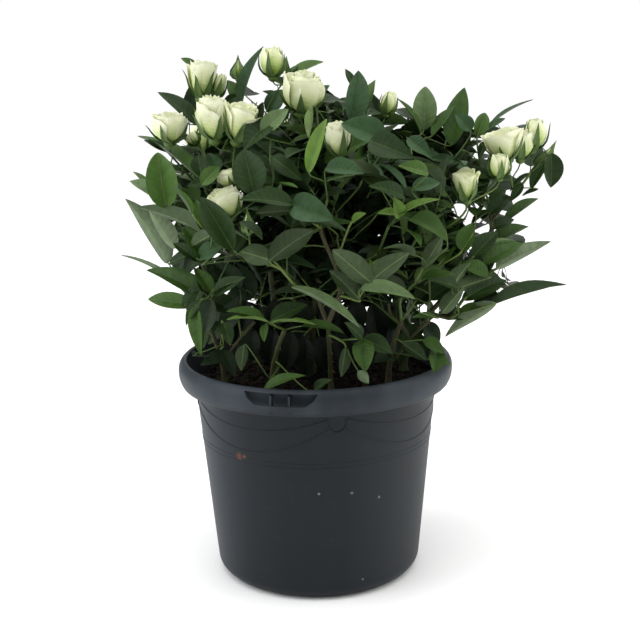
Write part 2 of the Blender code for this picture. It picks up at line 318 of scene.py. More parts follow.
def make_active(piece):
    bpy.ops.object.select_all(action="DESELECT")
    piece.select_set(True)
    bpy.context.view_layer.objects.active = piece


inner_corner = CORNER_RADIUS - WALL
inner_foot = wall_radius(CORNER_RADIUS) - WALL - inner_corner
inside_corner = arc((inner_foot, POT_FLOOR + inner_corner), inner_corner, -90, 0, 6)
bulge = RIM_TOP - 0.0090
rim_bottom = RIM_TOP - RIM_HEIGHT
rolled_rim = eased([
    (LIP_RADIUS + 0.0001, RIM_TOP - 0.0030),
    (LIP_RADIUS + 0.0004, RIM_TOP - 0.0010),
    (LIP_RADIUS + 0.0020, RIM_TOP),
    (RIM_RADIUS - 0.0030, RIM_TOP - 0.0012),
    (RIM_RADIUS - 0.0008, RIM_TOP - 0.0045),
    (RIM_RADIUS, bulge),
    (RIM_RADIUS - 0.0007, bulge - 0.0060),
    (RIM_RADIUS - 0.0026, rim_bottom + 0.0004),
], 4)
rim_underside = [
    (RIM_RADIUS - 0.0030, rim_bottom),
    (RIM_RADIUS - 0.0028 - WALL, rim_bottom + 0.0004),
    *eased([(RIM_RADIUS - 0.0025 - WALL, rim_bottom + 0.0010),
            (RIM_RADIUS - 0.0007 - WALL, bulge - 0.0060),
            (RIM_RADIUS - WALL, bulge),
            (RIM_RADIUS - 0.0012 - WALL, RIM_TOP - ROLL_TOP)], 3),
    (LIP_RADIUS + WALL, RIM_TOP - ROLL_TOP),
]
foot_corner = arc((wall_radius(CORNER_RADIUS) - CORNER_RADIUS, CORNER_RADIUS),
                  CORNER_RADIUS, 0, -90, 8)
STRAIGHT_FROM = 0.02
wall_line = [(wall_radius(h), h) for h in np.linspace(NECK_HEIGHT, STRAIGHT_FROM, 12)]
pot = turned("pot_shell", [
    (0, POT_FLOOR), *inside_corner,
    *[(wall_radius(h) - WALL, h) for h in np.linspace(STRAIGHT_FROM, NECK_HEIGHT, 8)],
    (LIP_RADIUS, RIM_TOP - 0.0040), *rolled_rim, *rim_underside,
    *wall_line, *foot_corner, (0, 0)], TURN_STEPS)


def window_cutter(azimuth):
    """A panel bent round the rim, narrower at its foot."""
    bpy.ops.mesh.primitive_grid_add(x_subdivisions=40, y_subdivisions=1, size=2)
    cutter = bpy.context.object
    for vertex in cutter.data.vertices:
        across, up = vertex.co.x, (vertex.co.y + 1) / 2
        rounding = max(0.0, (abs(across) - (1 - WINDOW_CORNER)) / WINDOW_CORNER) ** 2
        up = max(up, 0.50 * rounding)
        half = WINDOW_HALF_BOTTOM + (WINDOW_HALF_TOP - WINDOW_HALF_BOTTOM) * up
        vertex.co = around(azimuth + across * half, LIP_RADIUS + WALL + WINDOW_CLEAR,
                           WINDOW_LOW + (WINDOW_HIGH - WINDOW_LOW) * up)
    bent = cutter.modifiers.new("thicken", "SOLIDIFY")
    bent.thickness = RIM_RADIUS - LIP_RADIUS + 0.002
    cutter.data.update()
    face = cutter.data.polygons[0]
    bent.offset = 1.0 if face.normal.dot(face.center) > 0 else -1.0
    return cutter


def rim_rib(azimuth):
    """A radial plate that ties the rolled rim to the wall."""
    inner, outer = LIP_RADIUS + WALL / 2, RIM_RADIUS - WALL / 2
    low, high = rim_bottom + 0.002, WINDOW_HIGH - 0.0016
    bpy.ops.mesh.primitive_cube_add(size=1, location=(0, -(inner + outer) / 2, (low + high) / 2))
    plate = bpy.context.object
    plate.scale = (RIB_WIDTH, outer - inner, high - low)
    bpy.ops.object.transform_apply(location=True, rotation=False, scale=True)
    plate.data.transform(Matrix.Rotation(math.radians(azimuth), 4, "Z"))
    return plate


def drain_hole(index):
    angle = 2 * math.pi * index / DRAIN_HOLES
    bpy.ops.mesh.primitive_cylinder_add(
        vertices=28, radius=DRAIN_RADIUS, depth=4 * POT_FLOOR,
        location=(DRAIN_RING * math.cos(angle), DRAIN_RING * math.sin(angle), 0))
    return bpy.context.object


steps = [(window_cutter(azimuth), "DIFFERENCE") for azimuth in WINDOW_AZIMUTHS]
steps += [(rim_rib(azimuth + side * RIB_OFFSET), "UNION")
          for azimuth in WINDOW_AZIMUTHS for side in (-1, 1)]
steps += [(drain_hole(index), "DIFFERENCE") for index in range(DRAIN_HOLES)]
for cutter, operation in steps:
    boolean = pot.modifiers.new(operation.lower(), "BOOLEAN")
    boolean.operation, boolean.solver, boolean.object = operation, "EXACT", cutter
make_active(pot)
for modifier in list(pot.modifiers):
    bpy.ops.object.modifier_apply(modifier=modifier.name)
for cutter, _ in steps:
    bpy.data.objects.remove(cutter)
make_active(pot)
bpy.ops.object.shade_smooth_by_angle(angle=math.radians(35))

# The relief on the wall: four garlands between four knots, and two rings below them.
KNOT_AZIMUTHS = (9.5, 99.5, 189.5, 279.5)
KNOT_HALF = 4.2
KNOT_TOP = 0.1510
KNOT_LOW = 0.1410
UPPER_SAG = 0.0110
LOWER_END = 0.1430
LOWER_SAG = 0.0210
RING_HEIGHTS = (0.1155, 0.1118)
BEAD_RADIUS = 0.00075
BEAD_PROUD = -0.00025


def garland(knot, end_height, sag):
    """Points along the wall from one knot to the next, hanging by its sag."""
    line = []
    for i in range(41):
        t = i / 40
        azimuth = knot + KNOT_HALF + (90 - 2 * KNOT_HALF) * t
        line.append(wall_point(azimuth, end_height - sag * (1 - (2 * t - 1) ** 2), BEAD_PROUD))
    return line


def beads(lines, radius, closed):
    """Round beads along the lines, as one mesh."""
    curve = bpy.data.curves.new("beads", "CURVE")
    curve.dimensions, curve.bevel_depth, curve.bevel_resolution = "3D", radius, 1
    curve.use_fill_caps = True
    for line in lines:
        spline = curve.splines.new("POLY")
        spline.points.add(len(line) - 1)
        for point, place in zip(spline.points, line):
            point.co = (*place, 1)
        spline.use_cyclic_u = closed
    make_active(placed("beads", curve))
    bpy.ops.object.convert(target="MESH")
    return bpy.context.object


relief_lines = []
for knot in KNOT_AZIMUTHS:
    relief_lines += [garland(knot, KNOT_TOP, UPPER_SAG), garland(knot, LOWER_END, LOWER_SAG)]
    relief_lines.append([
        wall_point(knot + KNOT_HALF * math.sin(math.radians(turn)),
                   KNOT_TOP - (KNOT_TOP - KNOT_LOW) * math.cos(math.radians(turn)) ** 0.8,
                   BEAD_PROUD)
        for turn in range(-90, 91, 10)])
rings = [[wall_point(azimuth, height, BEAD_PROUD) for azimuth in range(0, 360, 3)]
         for height in RING_HEIGHTS]
relief = beads(relief_lines, BEAD_RADIUS, False)
ring_relief = beads(rings, BEAD_RADIUS * 0.8, True)
make_active(relief)
ring_relief.select_set(True)
bpy.ops.object.join()
relief.name = "pot_garlands"
bpy.ops.object.shade_smooth_by_angle(angle=math.radians(60))

plastic = Paint("pot_plastic", (0.012, 0.015, 0.018), 0.5, 0.15)
cloud = plastic.speckle(plastic.place((1, 1, 0.6)), 14.0, 4.0)
fine = plastic.speckle(plastic.place(), 420.0, 2.0)
dust = plastic.band(plastic.speckle(plastic.place((1, 1, 3.0)), 60.0, 6.0, 0.7), 0.58, 0.80)
height_up = plastic.part(plastic.place(), "Z")
grey = plastic.blend(cloud, (0.0075, 0.0095, 0.012), (0.013, 0.016, 0.020))
# Painted light: the wall is painted lighter and bluer towards each side, where the side
# lights fall on it.
across = plastic.part(plastic.place(), "X")
patches = plastic.speckle(plastic.place((1, 1, 0.4)), 38.0, 1.0)
grey = plastic.blend(plastic.band(across, -0.052, -0.088) * 0.8, grey, (0.020, 0.027, 0.035))
grey = plastic.blend(plastic.band(across, 0.020, 0.070) * 0.6, grey, (0.026, 0.030, 0.034))
# Painted highlight: the rim is painted lighter all round, and more so in patches, for the light
# that its top catches from above.
on_rim = plastic.band(height_up, RIM_TOP - 0.022, RIM_TOP - 0.016)
grey = plastic.blend(on_rim * (plastic.band(patches, 0.35, 0.62) * 0.6 + 0.30),
                     grey, (0.034, 0.043, 0.052))
grey = plastic.blend(dust * 0.25, grey, (0.040, 0.042, 0.042))
# A few small marks that soil and handling have left on the wall: azimuth, height, size, tint.
MARKS = ((-39.5, 0.1160, 0.0042, (0.115, 0.040, 0.022)),
         (-36.2, 0.1166, 0.0022, (0.130, 0.055, 0.030)),
         (0.8, 0.0914, 0.0013, (0.22, 0.23, 0.22)), (16.8, 0.0902, 0.0015, (0.15, 0.16, 0.15)),
         (31.5, 0.0827, 0.0014, (0.22, 0.23, 0.20)), (24.0, 0.0150, 0.0012, (0.20, 0.22, 0.22)))
for azimuth, height, size, tint in MARKS:
    away = plastic.node("ShaderNodeVectorMath", {"operation": "DISTANCE"}, {
        0: plastic.place(), 1: tuple(wall_point(azimuth, height))}, "Value")
    rough_edge = plastic.speckle(plastic.place(), 900.0, 2.0) * (size * 1.4)
    grey = plastic.blend(1 - plastic.band(away + rough_edge, size * 0.8, size * 1.6), grey, tint)
plastic.feed("Base Color", grey)
plastic.feed("Roughness", plastic.band(cloud + dust * 0.5, 0.0, 1.6) * 0.26 + 0.40)
plastic.relief(fine * 0.7 + cloud * 0.3, 0.00012, 0.5)
for piece in (pot, relief):
    piece.data.materials.clear()
    piece.data.materials.append(plastic.material)
settle(pot, "pot_plastic", "pot")
settle(relief, "pot_plastic")


# ---- The compost
# Dark peat and bark crumbs, loose on top, filling the pot to just under its neck.
COMPOST_TOP = 0.1600
COMPOST_GAP = 0.0003
COMPOST_REACH = 0.094
COMPOST_SINK = 0.0016
COMPOST_ROUGH = 0.0026
COMPOST_RINGS = 46
COMPOST_SPOKES = 150
CRUMBS = 1500
CRUMB_RING = 0.0925
CRUMB_LIMIT = 0.0955
CRUMB_FINISHES = (1, 1, 1, 2, 2, 3)


def compost_height(x, y):
    """The uneven top of the compost, level at the wall."""
    far = min(1.0, math.hypot(x, y) / COMPOST_REACH)
    rough = noise.fractal(Vector((x, y, 0)) * 55, 0.8, 2.2, 5)
    return COMPOST_TOP - COMPOST_SINK + COMPOST_ROUGH * rough * (1 - far ** 6)


def quads(index):
    """Faces between the rows of a grid of point numbers, row by row."""
    corners = index[:-1, :-1], index[:-1, 1:], index[1:, 1:], index[1:, :-1]
    return np.stack(corners, axis=-1).reshape(-1, 4)


class Heap:
    """Many small shapes gathered into one joined piece, with a finish for each face."""

    def __init__(self):
        self.points, self.faces, self.finishes, self.rims, self.marks = [], [], [], [], []
        self.count = 0

    def add(self, points, faces, finishes, rims=None, marks=None):
        self.points.append(np.asarray(points, float))
        if marks is not None:
            self.marks.append(marks)
        first = self.count
        self.faces += [tuple(corner + first for corner in face) for face in faces]
        self.finishes += np.broadcast_to(finishes, len(faces)).tolist()
        self.rims.append(np.zeros(len(points), bool) if rims is None else rims)
        self.count += len(points)

    def piece(self, name, paints, slot, *nodes):
        """Builds the piece and hands it over."""
        mesh = bpy.data.meshes.new(name)
        mesh.from_pydata(np.concatenate(self.points).tolist(), [], self.faces)
        for paint in paints:
            mesh.materials.append(paint.material)
        mesh.polygons.foreach_set("material_index", np.array(self.finishes, np.int32))
        mesh.polygons.foreach_set("use_smooth", np.ones(len(self.faces), bool))
        rims = np.concatenate(self.rims)
        ends = np.empty(len(mesh.edges) * 2, np.int32)
        mesh.edges.foreach_get("vertices", ends)
        sharp = rims[ends].reshape(-1, 2).all(axis=1)
        mesh.attributes.new("sharp_edge", "BOOLEAN", "EDGE").data.foreach_set("value", sharp)
        if self.marks:
            marks = mesh.attributes.new("blade_map", "FLOAT_VECTOR", "POINT")
            marks.data.foreach_set("vector", np.concatenate(self.marks).ravel())
        mesh.update()
        settle(placed(name, mesh), slot, *nodes)


def compost_body():
    """The compost's top, wall and underside as one closed body."""
    neck = NECK_RADIUS - WALL
    share = (COMPOST_TOP - NECK_HEIGHT) / (RIM_TOP - 0.0040 - NECK_HEIGHT)
    edge = neck + (LIP_RADIUS - neck) * share - COMPOST_GAP * 1.2
    points = [(0, 0, compost_height(0, 0))]
    rows = [(edge * (ring + 1) / COMPOST_RINGS, None) for ring in range(COMPOST_RINGS)]
    corner = arc((inner_foot, POT_FLOOR + inner_corner), inner_corner - COMPOST_GAP, 0, -90, 4)
    rows += [(neck - COMPOST_GAP, NECK_HEIGHT), *corner]
    for radius, level in rows:
        for spoke in range(COMPOST_SPOKES):
            angle = 2 * math.pi * spoke / COMPOST_SPOKES
            x, y = radius * math.cos(angle), radius * math.sin(angle)
            points.append((x, y, compost_height(x, y) if level is None else level))
    points.append((0, 0, POT_FLOOR + COMPOST_GAP))
    rings = 1 + np.arange(len(rows) * COMPOST_SPOKES).reshape(len(rows), -1)
    rings = np.hstack([rings, rings[:, :1]])
    faces = quads(rings)[:, [0, 3, 2, 1]].tolist()
    faces += [(0, here, after) for here, after in zip(rings[0], rings[0, 1:])]
    faces += [(here, len(points) - 1, after) for here, after in zip(rings[-1], rings[-1, 1:])]
    return points, faces


def crumb_shapes(count, rng):
    """Angular crumbs strewn over the top, sunk to a third of their height."""
    shape = bmesh.new()
    bmesh.ops.create_icosphere(shape, subdivisions=1, radius=1.0)
    ball = np.array([vertex.co for vertex in shape.verts])
    faces = [tuple(vertex.index for vertex in face.verts) for face in shape.faces]
    shape.free()
    for _ in range(count):
        radius = CRUMB_RING * math.sqrt(rng.random())
        angle = rng.uniform(0, 2 * math.pi)
        x, y = radius * math.cos(angle), radius * math.sin(angle)
        size = 0.0007 + 0.0019 * rng.random() ** 3
        jitter = 1 + 0.35 * np.array([rng.uniform(-1, 1) for _ in ball])
        stretch = np.array([rng.uniform(0.7, 1.7), rng.uniform(0.6, 1.1), rng.uniform(0.5, 0.9)])
        turn = np.array(Matrix.Rotation(rng.uniform(0, 6.28), 3, "Z")
                        @ Matrix.Rotation(rng.uniform(-0.5, 0.5), 3, "X"))
        spread = min(size, (CRUMB_LIMIT - radius) / 1.9)
        points = (ball * jitter[:, None] * stretch * spread) @ turn.T
        yield points + (x, y, compost_height(x, y) + spread * 0.25), faces


peat_heap = Heap()
peat_heap.add(*compost_body(), 0)
crumb_rng = random.Random(5)
for crumb_points, crumb_faces in crumb_shapes(CRUMBS, crumb_rng):
    peat_heap.add(crumb_points, crumb_faces, crumb_rng.choice(CRUMB_FINISHES))
peat = Paint("peat", (0.007, 0.0055, 0.004), 0.95, 0.1)
peat_grain = peat.speckle(peat.place(), 320.0, 5.0, 0.7)
peat.feed("Base Color", peat.blend(peat.band(peat_grain, 0.35, 0.7), (0.003, 0.0025, 0.002),
                                   (0.013, 0.0095, 0.0065)))
peat.relief(peat_grain, 0.0006)
crumb_paints = [Paint("crumb_dark", (0.006, 0.0045, 0.0035), 0.95, 0.1),
                Paint("crumb_brown", (0.015, 0.010, 0.0065), 0.92, 0.1),
                Paint("crumb_bark", (0.028, 0.017, 0.010), 0.9, 0.1)]
peat_heap.piece("compost_crumbs", [peat, *crumb_paints], "compost", "compost")


# ---- Canes and boughs
# Green-brown wood that springs from the compost, ringed at its joints, with a fine bark that
# is drawn out lengthwise, and hooked prickles. Three canes fork low down.
CANE_BURIED = 0.003
CANES = {  # foot, tip, radius at the foot and at the tip
    "cane_left": ((-0.071, -0.028), (-0.085, -0.034, 0.216), 0.0024, 0.0015),
    "cane_front_left": ((-0.034, -0.046), (-0.022, -0.072, 0.214), 0.0023, 0.0015),
    "cane_front": ((0.012, -0.042), (0.010, -0.068, 0.216), 0.0021, 0.0014),
    "cane_front_right": ((0.057, -0.032), (0.066, -0.050, 0.214), 0.0024, 0.0016),
    "cane_right": ((0.072, 0.012), (0.108, 0.008, 0.222), 0.0030, 0.0020),
    "cane_centre": ((-0.004, 0.004), (0.010, 0.000, 0.262), 0.0036, 0.0024),
    "cane_centre_left": ((-0.030, 0.010), (-0.036, -0.004, 0.262), 0.0030, 0.0020),
    "cane_back_right": ((0.044, 0.048), (0.058, 0.062, 0.216), 0.0028, 0.0018),
    "cane_back": ((0.002, 0.060), (0.000, 0.082, 0.214), 0.0026, 0.0017),
    "cane_back_left": ((-0.050, 0.044), (-0.066, 0.064, 0.216), 0.0027, 0.0017),
}
BOUGHS = {  # parent, how far up it, tip, radius at the fork and at the tip
    "bough_left": ("cane_left", 0.34, (-0.046, -0.034, 0.212), 0.0016, 0.0013),
    "bough_right": ("cane_front_right", 0.40, (0.092, -0.040, 0.216), 0.0016, 0.0013),
    "bough_back": ("cane_back", 0.36, (0.026, 0.078, 0.214), 0.0017, 0.0013),
}
LIMB_STEPS = 42
LIMB_SIDES = 14
LIMB_JOINT = 0.017
CANE_FLARE = 1.4
PRICKLE_EVERY = 6


def limb_path(base, tip, rise, lean=0.0):
    """Points on a curve that leaves its base upwards, or leaning, and bends to its tip."""
    base, tip = Vector(base), Vector(tip)
    pull = base + Vector((0, 0, rise)) + (tip - base) * lean
    path = []
    for i in range(LIMB_STEPS):
        t = i / (LIMB_STEPS - 1)
        path.append(base * (1 - t) ** 2 + pull * (2 * t * (1 - t)) + tip * t * t)
    return path


def tube(path, radii, sides):
    """Points and faces of a closed tube along the path, without twist."""
    path = np.asarray(path, float)
    along = np.gradient(path, axis=0)
    along /= norm(along, axis=1)[:, None] + 1e-12
    across = np.cross(along[0], (0.3, 0.5, 0.81))
    points = []
    turns = np.arange(sides) * 2 * math.pi / sides
    for centre, way, radius in zip(path, along, radii):
        across = across - way * across.dot(way)
        across /= norm(across)
        up = np.cross(way, across)
        ring = np.cos(turns)[:, None] * across + np.sin(turns)[:, None] * up
        points.append(centre + ring * np.atleast_1d(radius).reshape(-1, 1))
    rings = np.arange(len(path) * sides).reshape(-1, sides)
    faces = quads(np.hstack([rings, rings[:, :1]])).tolist()
    return np.concatenate(points), [*faces, rings[0, ::-1].tolist(), rings[-1].tolist()]


def bark_radii(length_along, radius, seed):
    """Radii round one ring: swollen at the joints and ridged lengthwise."""
    joint = math.exp(-((((length_along + seed * 0.004) % LIMB_JOINT) - 0.0030) / 0.0013) ** 2)
    ridges = [noise.noise((math.cos(t) * 2.2, math.sin(t) * 2.2, length_along * 130 + seed))
              for t in np.arange(LIMB_SIDES) * 2 * math.pi / LIMB_SIDES]
    return radius * (1 + 0.20 * joint + 0.10 * np.array(ridges))


def prickle(middle, way, depth, rng, smallest, largest):
    """A hooked prickle: a flat-sided cone that leans down the limb, on a random side of it."""
    out = (Matrix.Rotation(rng.uniform(0, 6.28), 3, way) @ way.orthogonal()).normalized()
    size = rng.uniform(smallest, largest)
    foot = middle + out * depth
    side = way.cross(out).normalized()
    base = [foot + way * size * 0.55, foot + side * size * 0.24, foot - way * size * 0.55,
            foot - side * size * 0.24]
    mid = [point * 0.55 + (foot + out * size * 0.8 - way * size * 0.15) * 0.45 for point in base]
    tip = foot + out * size * 1.15 - way * size * 0.75
    faces = [(4 + i, 4 + (i + 1) % 4, (i + 1) % 4, i) for i in range(4)]
    faces += [(8, 4 + (i + 1) % 4, 4 + i) for i in range(4)] + [(0, 1, 2, 3)]
    return [*base, *mid, tip], faces


limb_heap = Heap()
limb_paths = {}
limb_rng = random.Random(3)


def add_limb(name, path, base_radius, tip_radius, flare):
    limb_paths[name] = path
    seed = limb_rng.uniform(0, 50)
    radii, walked = [], 0.0
    for i, point in enumerate(path):
        t = i / (len(path) - 1)
        walked += (point - path[i - 1]).length if i else 0.0
        radius = base_radius + (tip_radius - base_radius) * t
        radii.append(bark_radii(walked, radius * (1 + (flare - 1) * max(0.0, 1 - t * 6)), seed))
    limb_heap.add(*tube(path, radii, LIMB_SIDES), 0)
    for i in range(PRICKLE_EVERY, len(path) - 2, PRICKLE_EVERY):
        way = (path[i + 1] - path[i]).normalized()
        limb_heap.add(*prickle(path[i], way, radii[i].mean() * 0.9, limb_rng, 0.0014, 0.0024), 1)


for cane, (foot, tip, base_radius, tip_radius) in CANES.items():
    path = limb_path((*foot, COMPOST_TOP - CANE_BURIED), tip, 0.5 * (tip[2] - COMPOST_TOP))
    add_limb(cane, path, base_radius, tip_radius, CANE_FLARE)
for bough, (parent, share, tip, base_radius, tip_radius) in BOUGHS.items():
    base = limb_paths[parent][round(round(share * 6) / 6 * (LIMB_STEPS - 1))]
    path = limb_path(base, tip, 0.1 * (tip[2] - base.z), lean=0.4)
    add_limb(bough, path, base_radius, tip_radius, 1.0)

bark = Paint("cane_bark", (0.070, 0.085, 0.030), 0.62, 0.2)
bark_streak = bark.speckle(bark.place((1, 1, 0.12)), 700.0, 4.0, 0.65)
bark_patch = bark.speckle(bark.place((1, 1, 0.5)), 70.0, 3.0)
bark_colour = bark.blend(bark.band(bark_patch, 0.35, 0.65), (0.044, 0.066, 0.020),
                         (0.055, 0.050, 0.024))
bark.feed("Base Color", bark.blend(bark.band(bark_streak, 0.45, 0.75) * 0.5, bark_colour,
                                   (0.030, 0.026, 0.014)))
bark.relief(bark_streak, 0.00025, 0.8)
thorn = Paint("prickle", (0.150, 0.060, 0.035), 0.5)
limb_heap.piece("canes", [bark, thorn], "cane_bark", *CANES, *BOUGHS)


# ---- The shape of the crown
# What the growth below keeps to: the outline of the bulk of the leaves, the openings in it
# where the sky shows, the hollows and the masses' own room. The tables give places in the
# frame, across and down, and radii there.
def table(text, fields):
    """The rows of a table with so many fields: numbers, and words as they are."""
    values = [word if word[0].isalpha() else float(word) for word in text.split()]
    return [values[i:i + fields] for i in range(0, len(values), fields)]


# The outline, across and down.
OUTLINE = table("""
190 352  187 320  172 300  160 285  166 270  166 258  150 232  146 212  152 190  148 168  160 158
170 150  160 122  178 108  190 85  190 64  215 62  226 90  240 72  260 52  284 64  300 72  322 74
332 90  348 82  370 86  386 104  412 104  430 94  442 120  462 98  474 118  490 120  508 128
528 122  544 136  540 150  554 162  554 178  530 192  520 206  506 222  518 232  536 246  508 262
502 276  536 286  498 302  470 322  446 336  440 350  446 366  425 378  380 384  300 390  240 388
202 370""", 2)
# The openings, across, down and radius.
SKY = table("""
257 80 9  276 82 6  247 102 4  266 101 4  274 114 4  227 93 5  193 136 5  203 143 5  179 154 5
162 155 3  157 216 6  150 201 5  170 246 3  192 253 4  188 273 4  178 252 2  154 243 9  161 262 5
176 286 4  224 70 6  146 118 8  294 62 5  335 84 5  339 93 4  396 92 8  447 101 6  500 104 6
393 121 5  389 141 4  477 142 4  491 147 4  461 206 3  461 213 3  471 216 3  517 172 8  525 189 4
542 185 4  487 231 3  477 249 3  438 306 4  464 306 6  425 312 3  435 323 4  444 328 5  424 326 3
531 213 7  200 317 2  345 238 0""", 3)
# Where one looks past the front leaves into the shade inside. These places were measured by a
# program and not chosen by hand.
HOLLOWS = table("""
298 357 29  261 371 13  362 200 13  318 247 12  372 321 10  259 351 10  335 344 10  375 235 10
229 264 8  378 199 9  309 311 9  321 277 8  212 366 8  230 371 8  320 316 8  412 367 8  304 252 8
346 204 9  329 237 8  280 301 8  277 223 7  359 308 7  347 378 7  266 230 7  240 338 7  392 374 7
349 239 8  300 303 7  404 357 6  288 279 6  397 240 6  252 302 6""", 3)
HOLLOW_DEPTH = 0.95
MASS_NAMES = [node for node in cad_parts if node.startswith(("foliage_", "bloom_spray_"))]
FOLIAGE = [name for name in MASS_NAMES if name.startswith("foliage_")]
BLOOM_SPRAYS = [name for name in MASS_NAMES if name not in FOLIAGE]
mass_boxes = [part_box(node) for node in MASS_NAMES]
mass_centres = np.array([(low + high) / 2 for low, high in mass_boxes])
mass_halves = np.array([(high - low) / 2 for low, high in mass_boxes])
outline, sky, hollows = np.array(OUTLINE), np.array(SKY), np.array(HOLLOWS)


def inside_outline(across, down):
    """Whether each place in the frame lies inside the crown's outline."""
    inside = np.zeros(len(across), bool)
    for (x0, y0), (x1, y1) in zip(outline, np.roll(outline, -1, axis=0)):
        crosses = (y0 > down) != (y1 > down)
        if crosses.any():
            inside ^= crosses & (across < x0 + (x1 - x0) * (down - y0) / (y1 - y0 + 1e-9))
    return inside


def inside_masses(points, margin):
    """Whether each point lies in one of the masses' ellipsoids, widened by the margin."""
    away = (points[:, None, :] - mass_centres[None]) / (mass_halves[None] + margin)
    return ((away ** 2).sum(axis=2) < 1).any(axis=1)


# ---- Blooms
# Double roses from tight green bud to open flower: petals wrapped in a spiral round a green
# hip, ivory at the rim and greener towards the base, with five long sepals under them.
# The blooms in front: base of the hip and top of the petals (frame place and depth in mm),
# radius in mm, stage and tint. A lower tint makes the petals darker and greener: partly a
# bloom's own greener colour, partly painted shade on blooms that stand in the crown's shade.
BLOOMS = table("""
200 104 -10  203 58 -8  10.9 vase -0.3    215 102 -2  223 72 -2  4.6 bud -1.4
238 82 30  238 59 30  4.6 green 0    273 82 -6  272 45 -6  9.2 bud -1.6
301 119 -24  305 66 -30  15.4 full 0.3    170 147 -16  168 110 -18  13.6 cup 0.2
215 146 -44  211 92 -47  12.8 cup 0    235 147 -47  245 101 -52  12.2 vase -0.7
340 161 -56  336 118 -58  9.4 cup 0.3    232 222 -64  221 186 -66  12.5 cup -1.2
233 190 -50  225 168 -50  8.5 cup -1.2    385 118 -8  392 90 -8  6.2 bud -2.4
508 165 -16  501 127 -18  14.5 vase 0.8    520 164 -10  522 126 -8  9.5 cup 0
532 154 -5  537 117 -6  9.0 bud -1.3    499 182 -36  500 152 -38  7.6 bud -0.8
467 205 -48  464 168 -52  9.6 vase -2.0    538 174 0  552 148 2  5.8 green 0
249 236 -105  247 214 -106  3.4 green 0    199 145 -5  189 133 -6  4.8 bud -1.0""", 9)
# The blooms round the back: hip in metres, the way they lean, radius and length in mm, stage.
BACK_BLOOMS = table("""
-0.088 0.086 0.326  -0.35 0.55 1.0  13.5 31 cup    -0.036 0.116 0.326  -0.10 0.60 1.0  16.5 30 open
-0.064 0.108 0.322  -0.20 0.45 1.0  6.0 22 bud    0.030 0.120 0.322  0.15 0.60 1.0  8.6 27 bud
0.078 0.106 0.306  0.20 0.60 1.0  14.0 31 cup    0.116 0.090 0.294  0.45 0.50 1.0  15.0 28 open
0.104 0.102 0.302  0.30 0.70 1.0  5.0 18 green    -0.114 0.090 0.282  -0.60 0.60 0.9  8.0 26 bud
0.008 0.126 0.284  0.0 0.80 0.7  12.0 29 cup    0.052 0.112 0.318  0.10 0.50 1.0  6.0 20 bud
-0.010 0.118 0.334  -0.10 0.50 1.0  10.0 26 vase""", 9)
# stage: petals, how far they close over, flare of the outer ones, roll of the rims, how
# much lower the outer ones may be, the share of the bloom's height that the sepals hug, and
# their length against it
STAGES = {
    "green": (5, 0.95, 0.0, 0.0, 0.0, 1.3, 1.30),
    "bud": (11, 0.76, 0.0, 0.25, 0.10, 0.62, 0.85),
    "cup": (19, 0.655, 0.04, 0.55, 0.26, 0.46, 0.76),
    "vase": (18, 0.53, 0.06, 0.55, 0.16, 0.50, 0.74),
    "open": (26, 0.60, 0.22, 0.9, 0.34, 0.24, 0.72),
    "full": (28, 0.72, 0.11, 0.9, 0.50, 0.34, 0.70),
}
HIP_SHARE = 0.19
BLOOM_LOAD = 0.9
GOLDEN_TURN = math.radians(137.5)
# From the green foot of a petal to its ivory rim: red, green and blue at four heights.
PETAL_SHADES = 12
PETAL_HEIGHTS = (0, 0.3, 0.65, 1)
PETAL_STOPS = ((0.27, 0.50, 0.68, 0.79), (0.41, 0.60, 0.73, 0.81), (0.08, 0.23, 0.42, 0.58))
PETAL_ACROSS = 11
PETAL_ALONG = 10
PETAL_THICK = 0.00035


def axes_along(axis):
    """Three unit columns with the third along the axis."""
    axis = Vector(axis).normalized()
    side = axis.orthogonal().normalized()
    return np.array([side, axis.cross(side), axis]).T


def double_sheet(front, thickness):
    """A grid of points closed with a second sheet behind it: points, faces, rim flags."""
    rows, columns, _ = front.shape
    along = np.gradient(front, axis=0)
    across = np.gradient(front, axis=1)
    normal = np.cross(across, along)
    normal /= norm(normal, axis=2)[..., None] + 1e-12
    inner = (front - normal * thickness)[1:-1, 1:-1]
    index = np.arange(rows * columns).reshape(rows, columns)
    behind = index.copy()
    behind[1:-1, 1:-1] = index.size + np.arange(inner[..., 0].size).reshape(rows - 2, columns - 2)
    faces = np.stack([quads(index), quads(behind)[:, [0, 3, 2, 1]]], axis=1).reshape(-1, 4)
    bands = np.repeat(np.arange(rows - 1), 2 * (columns - 1))
    points = np.concatenate([front.reshape(-1, 3), inner.reshape(-1, 3)])
    edge = np.ones((rows, columns), bool)
    edge[1:-1, 1:-1] = False
    rim = np.concatenate([edge.ravel(), np.zeros(inner[..., 0].size, bool)])
    return points, faces.tolist(), bands, rim


def belly(rise, close):
    """How wide the petals stand at this share of their height, against the radius."""
    return np.sin(math.pi * close * np.clip(rise, 0.02, None) ** 0.62)


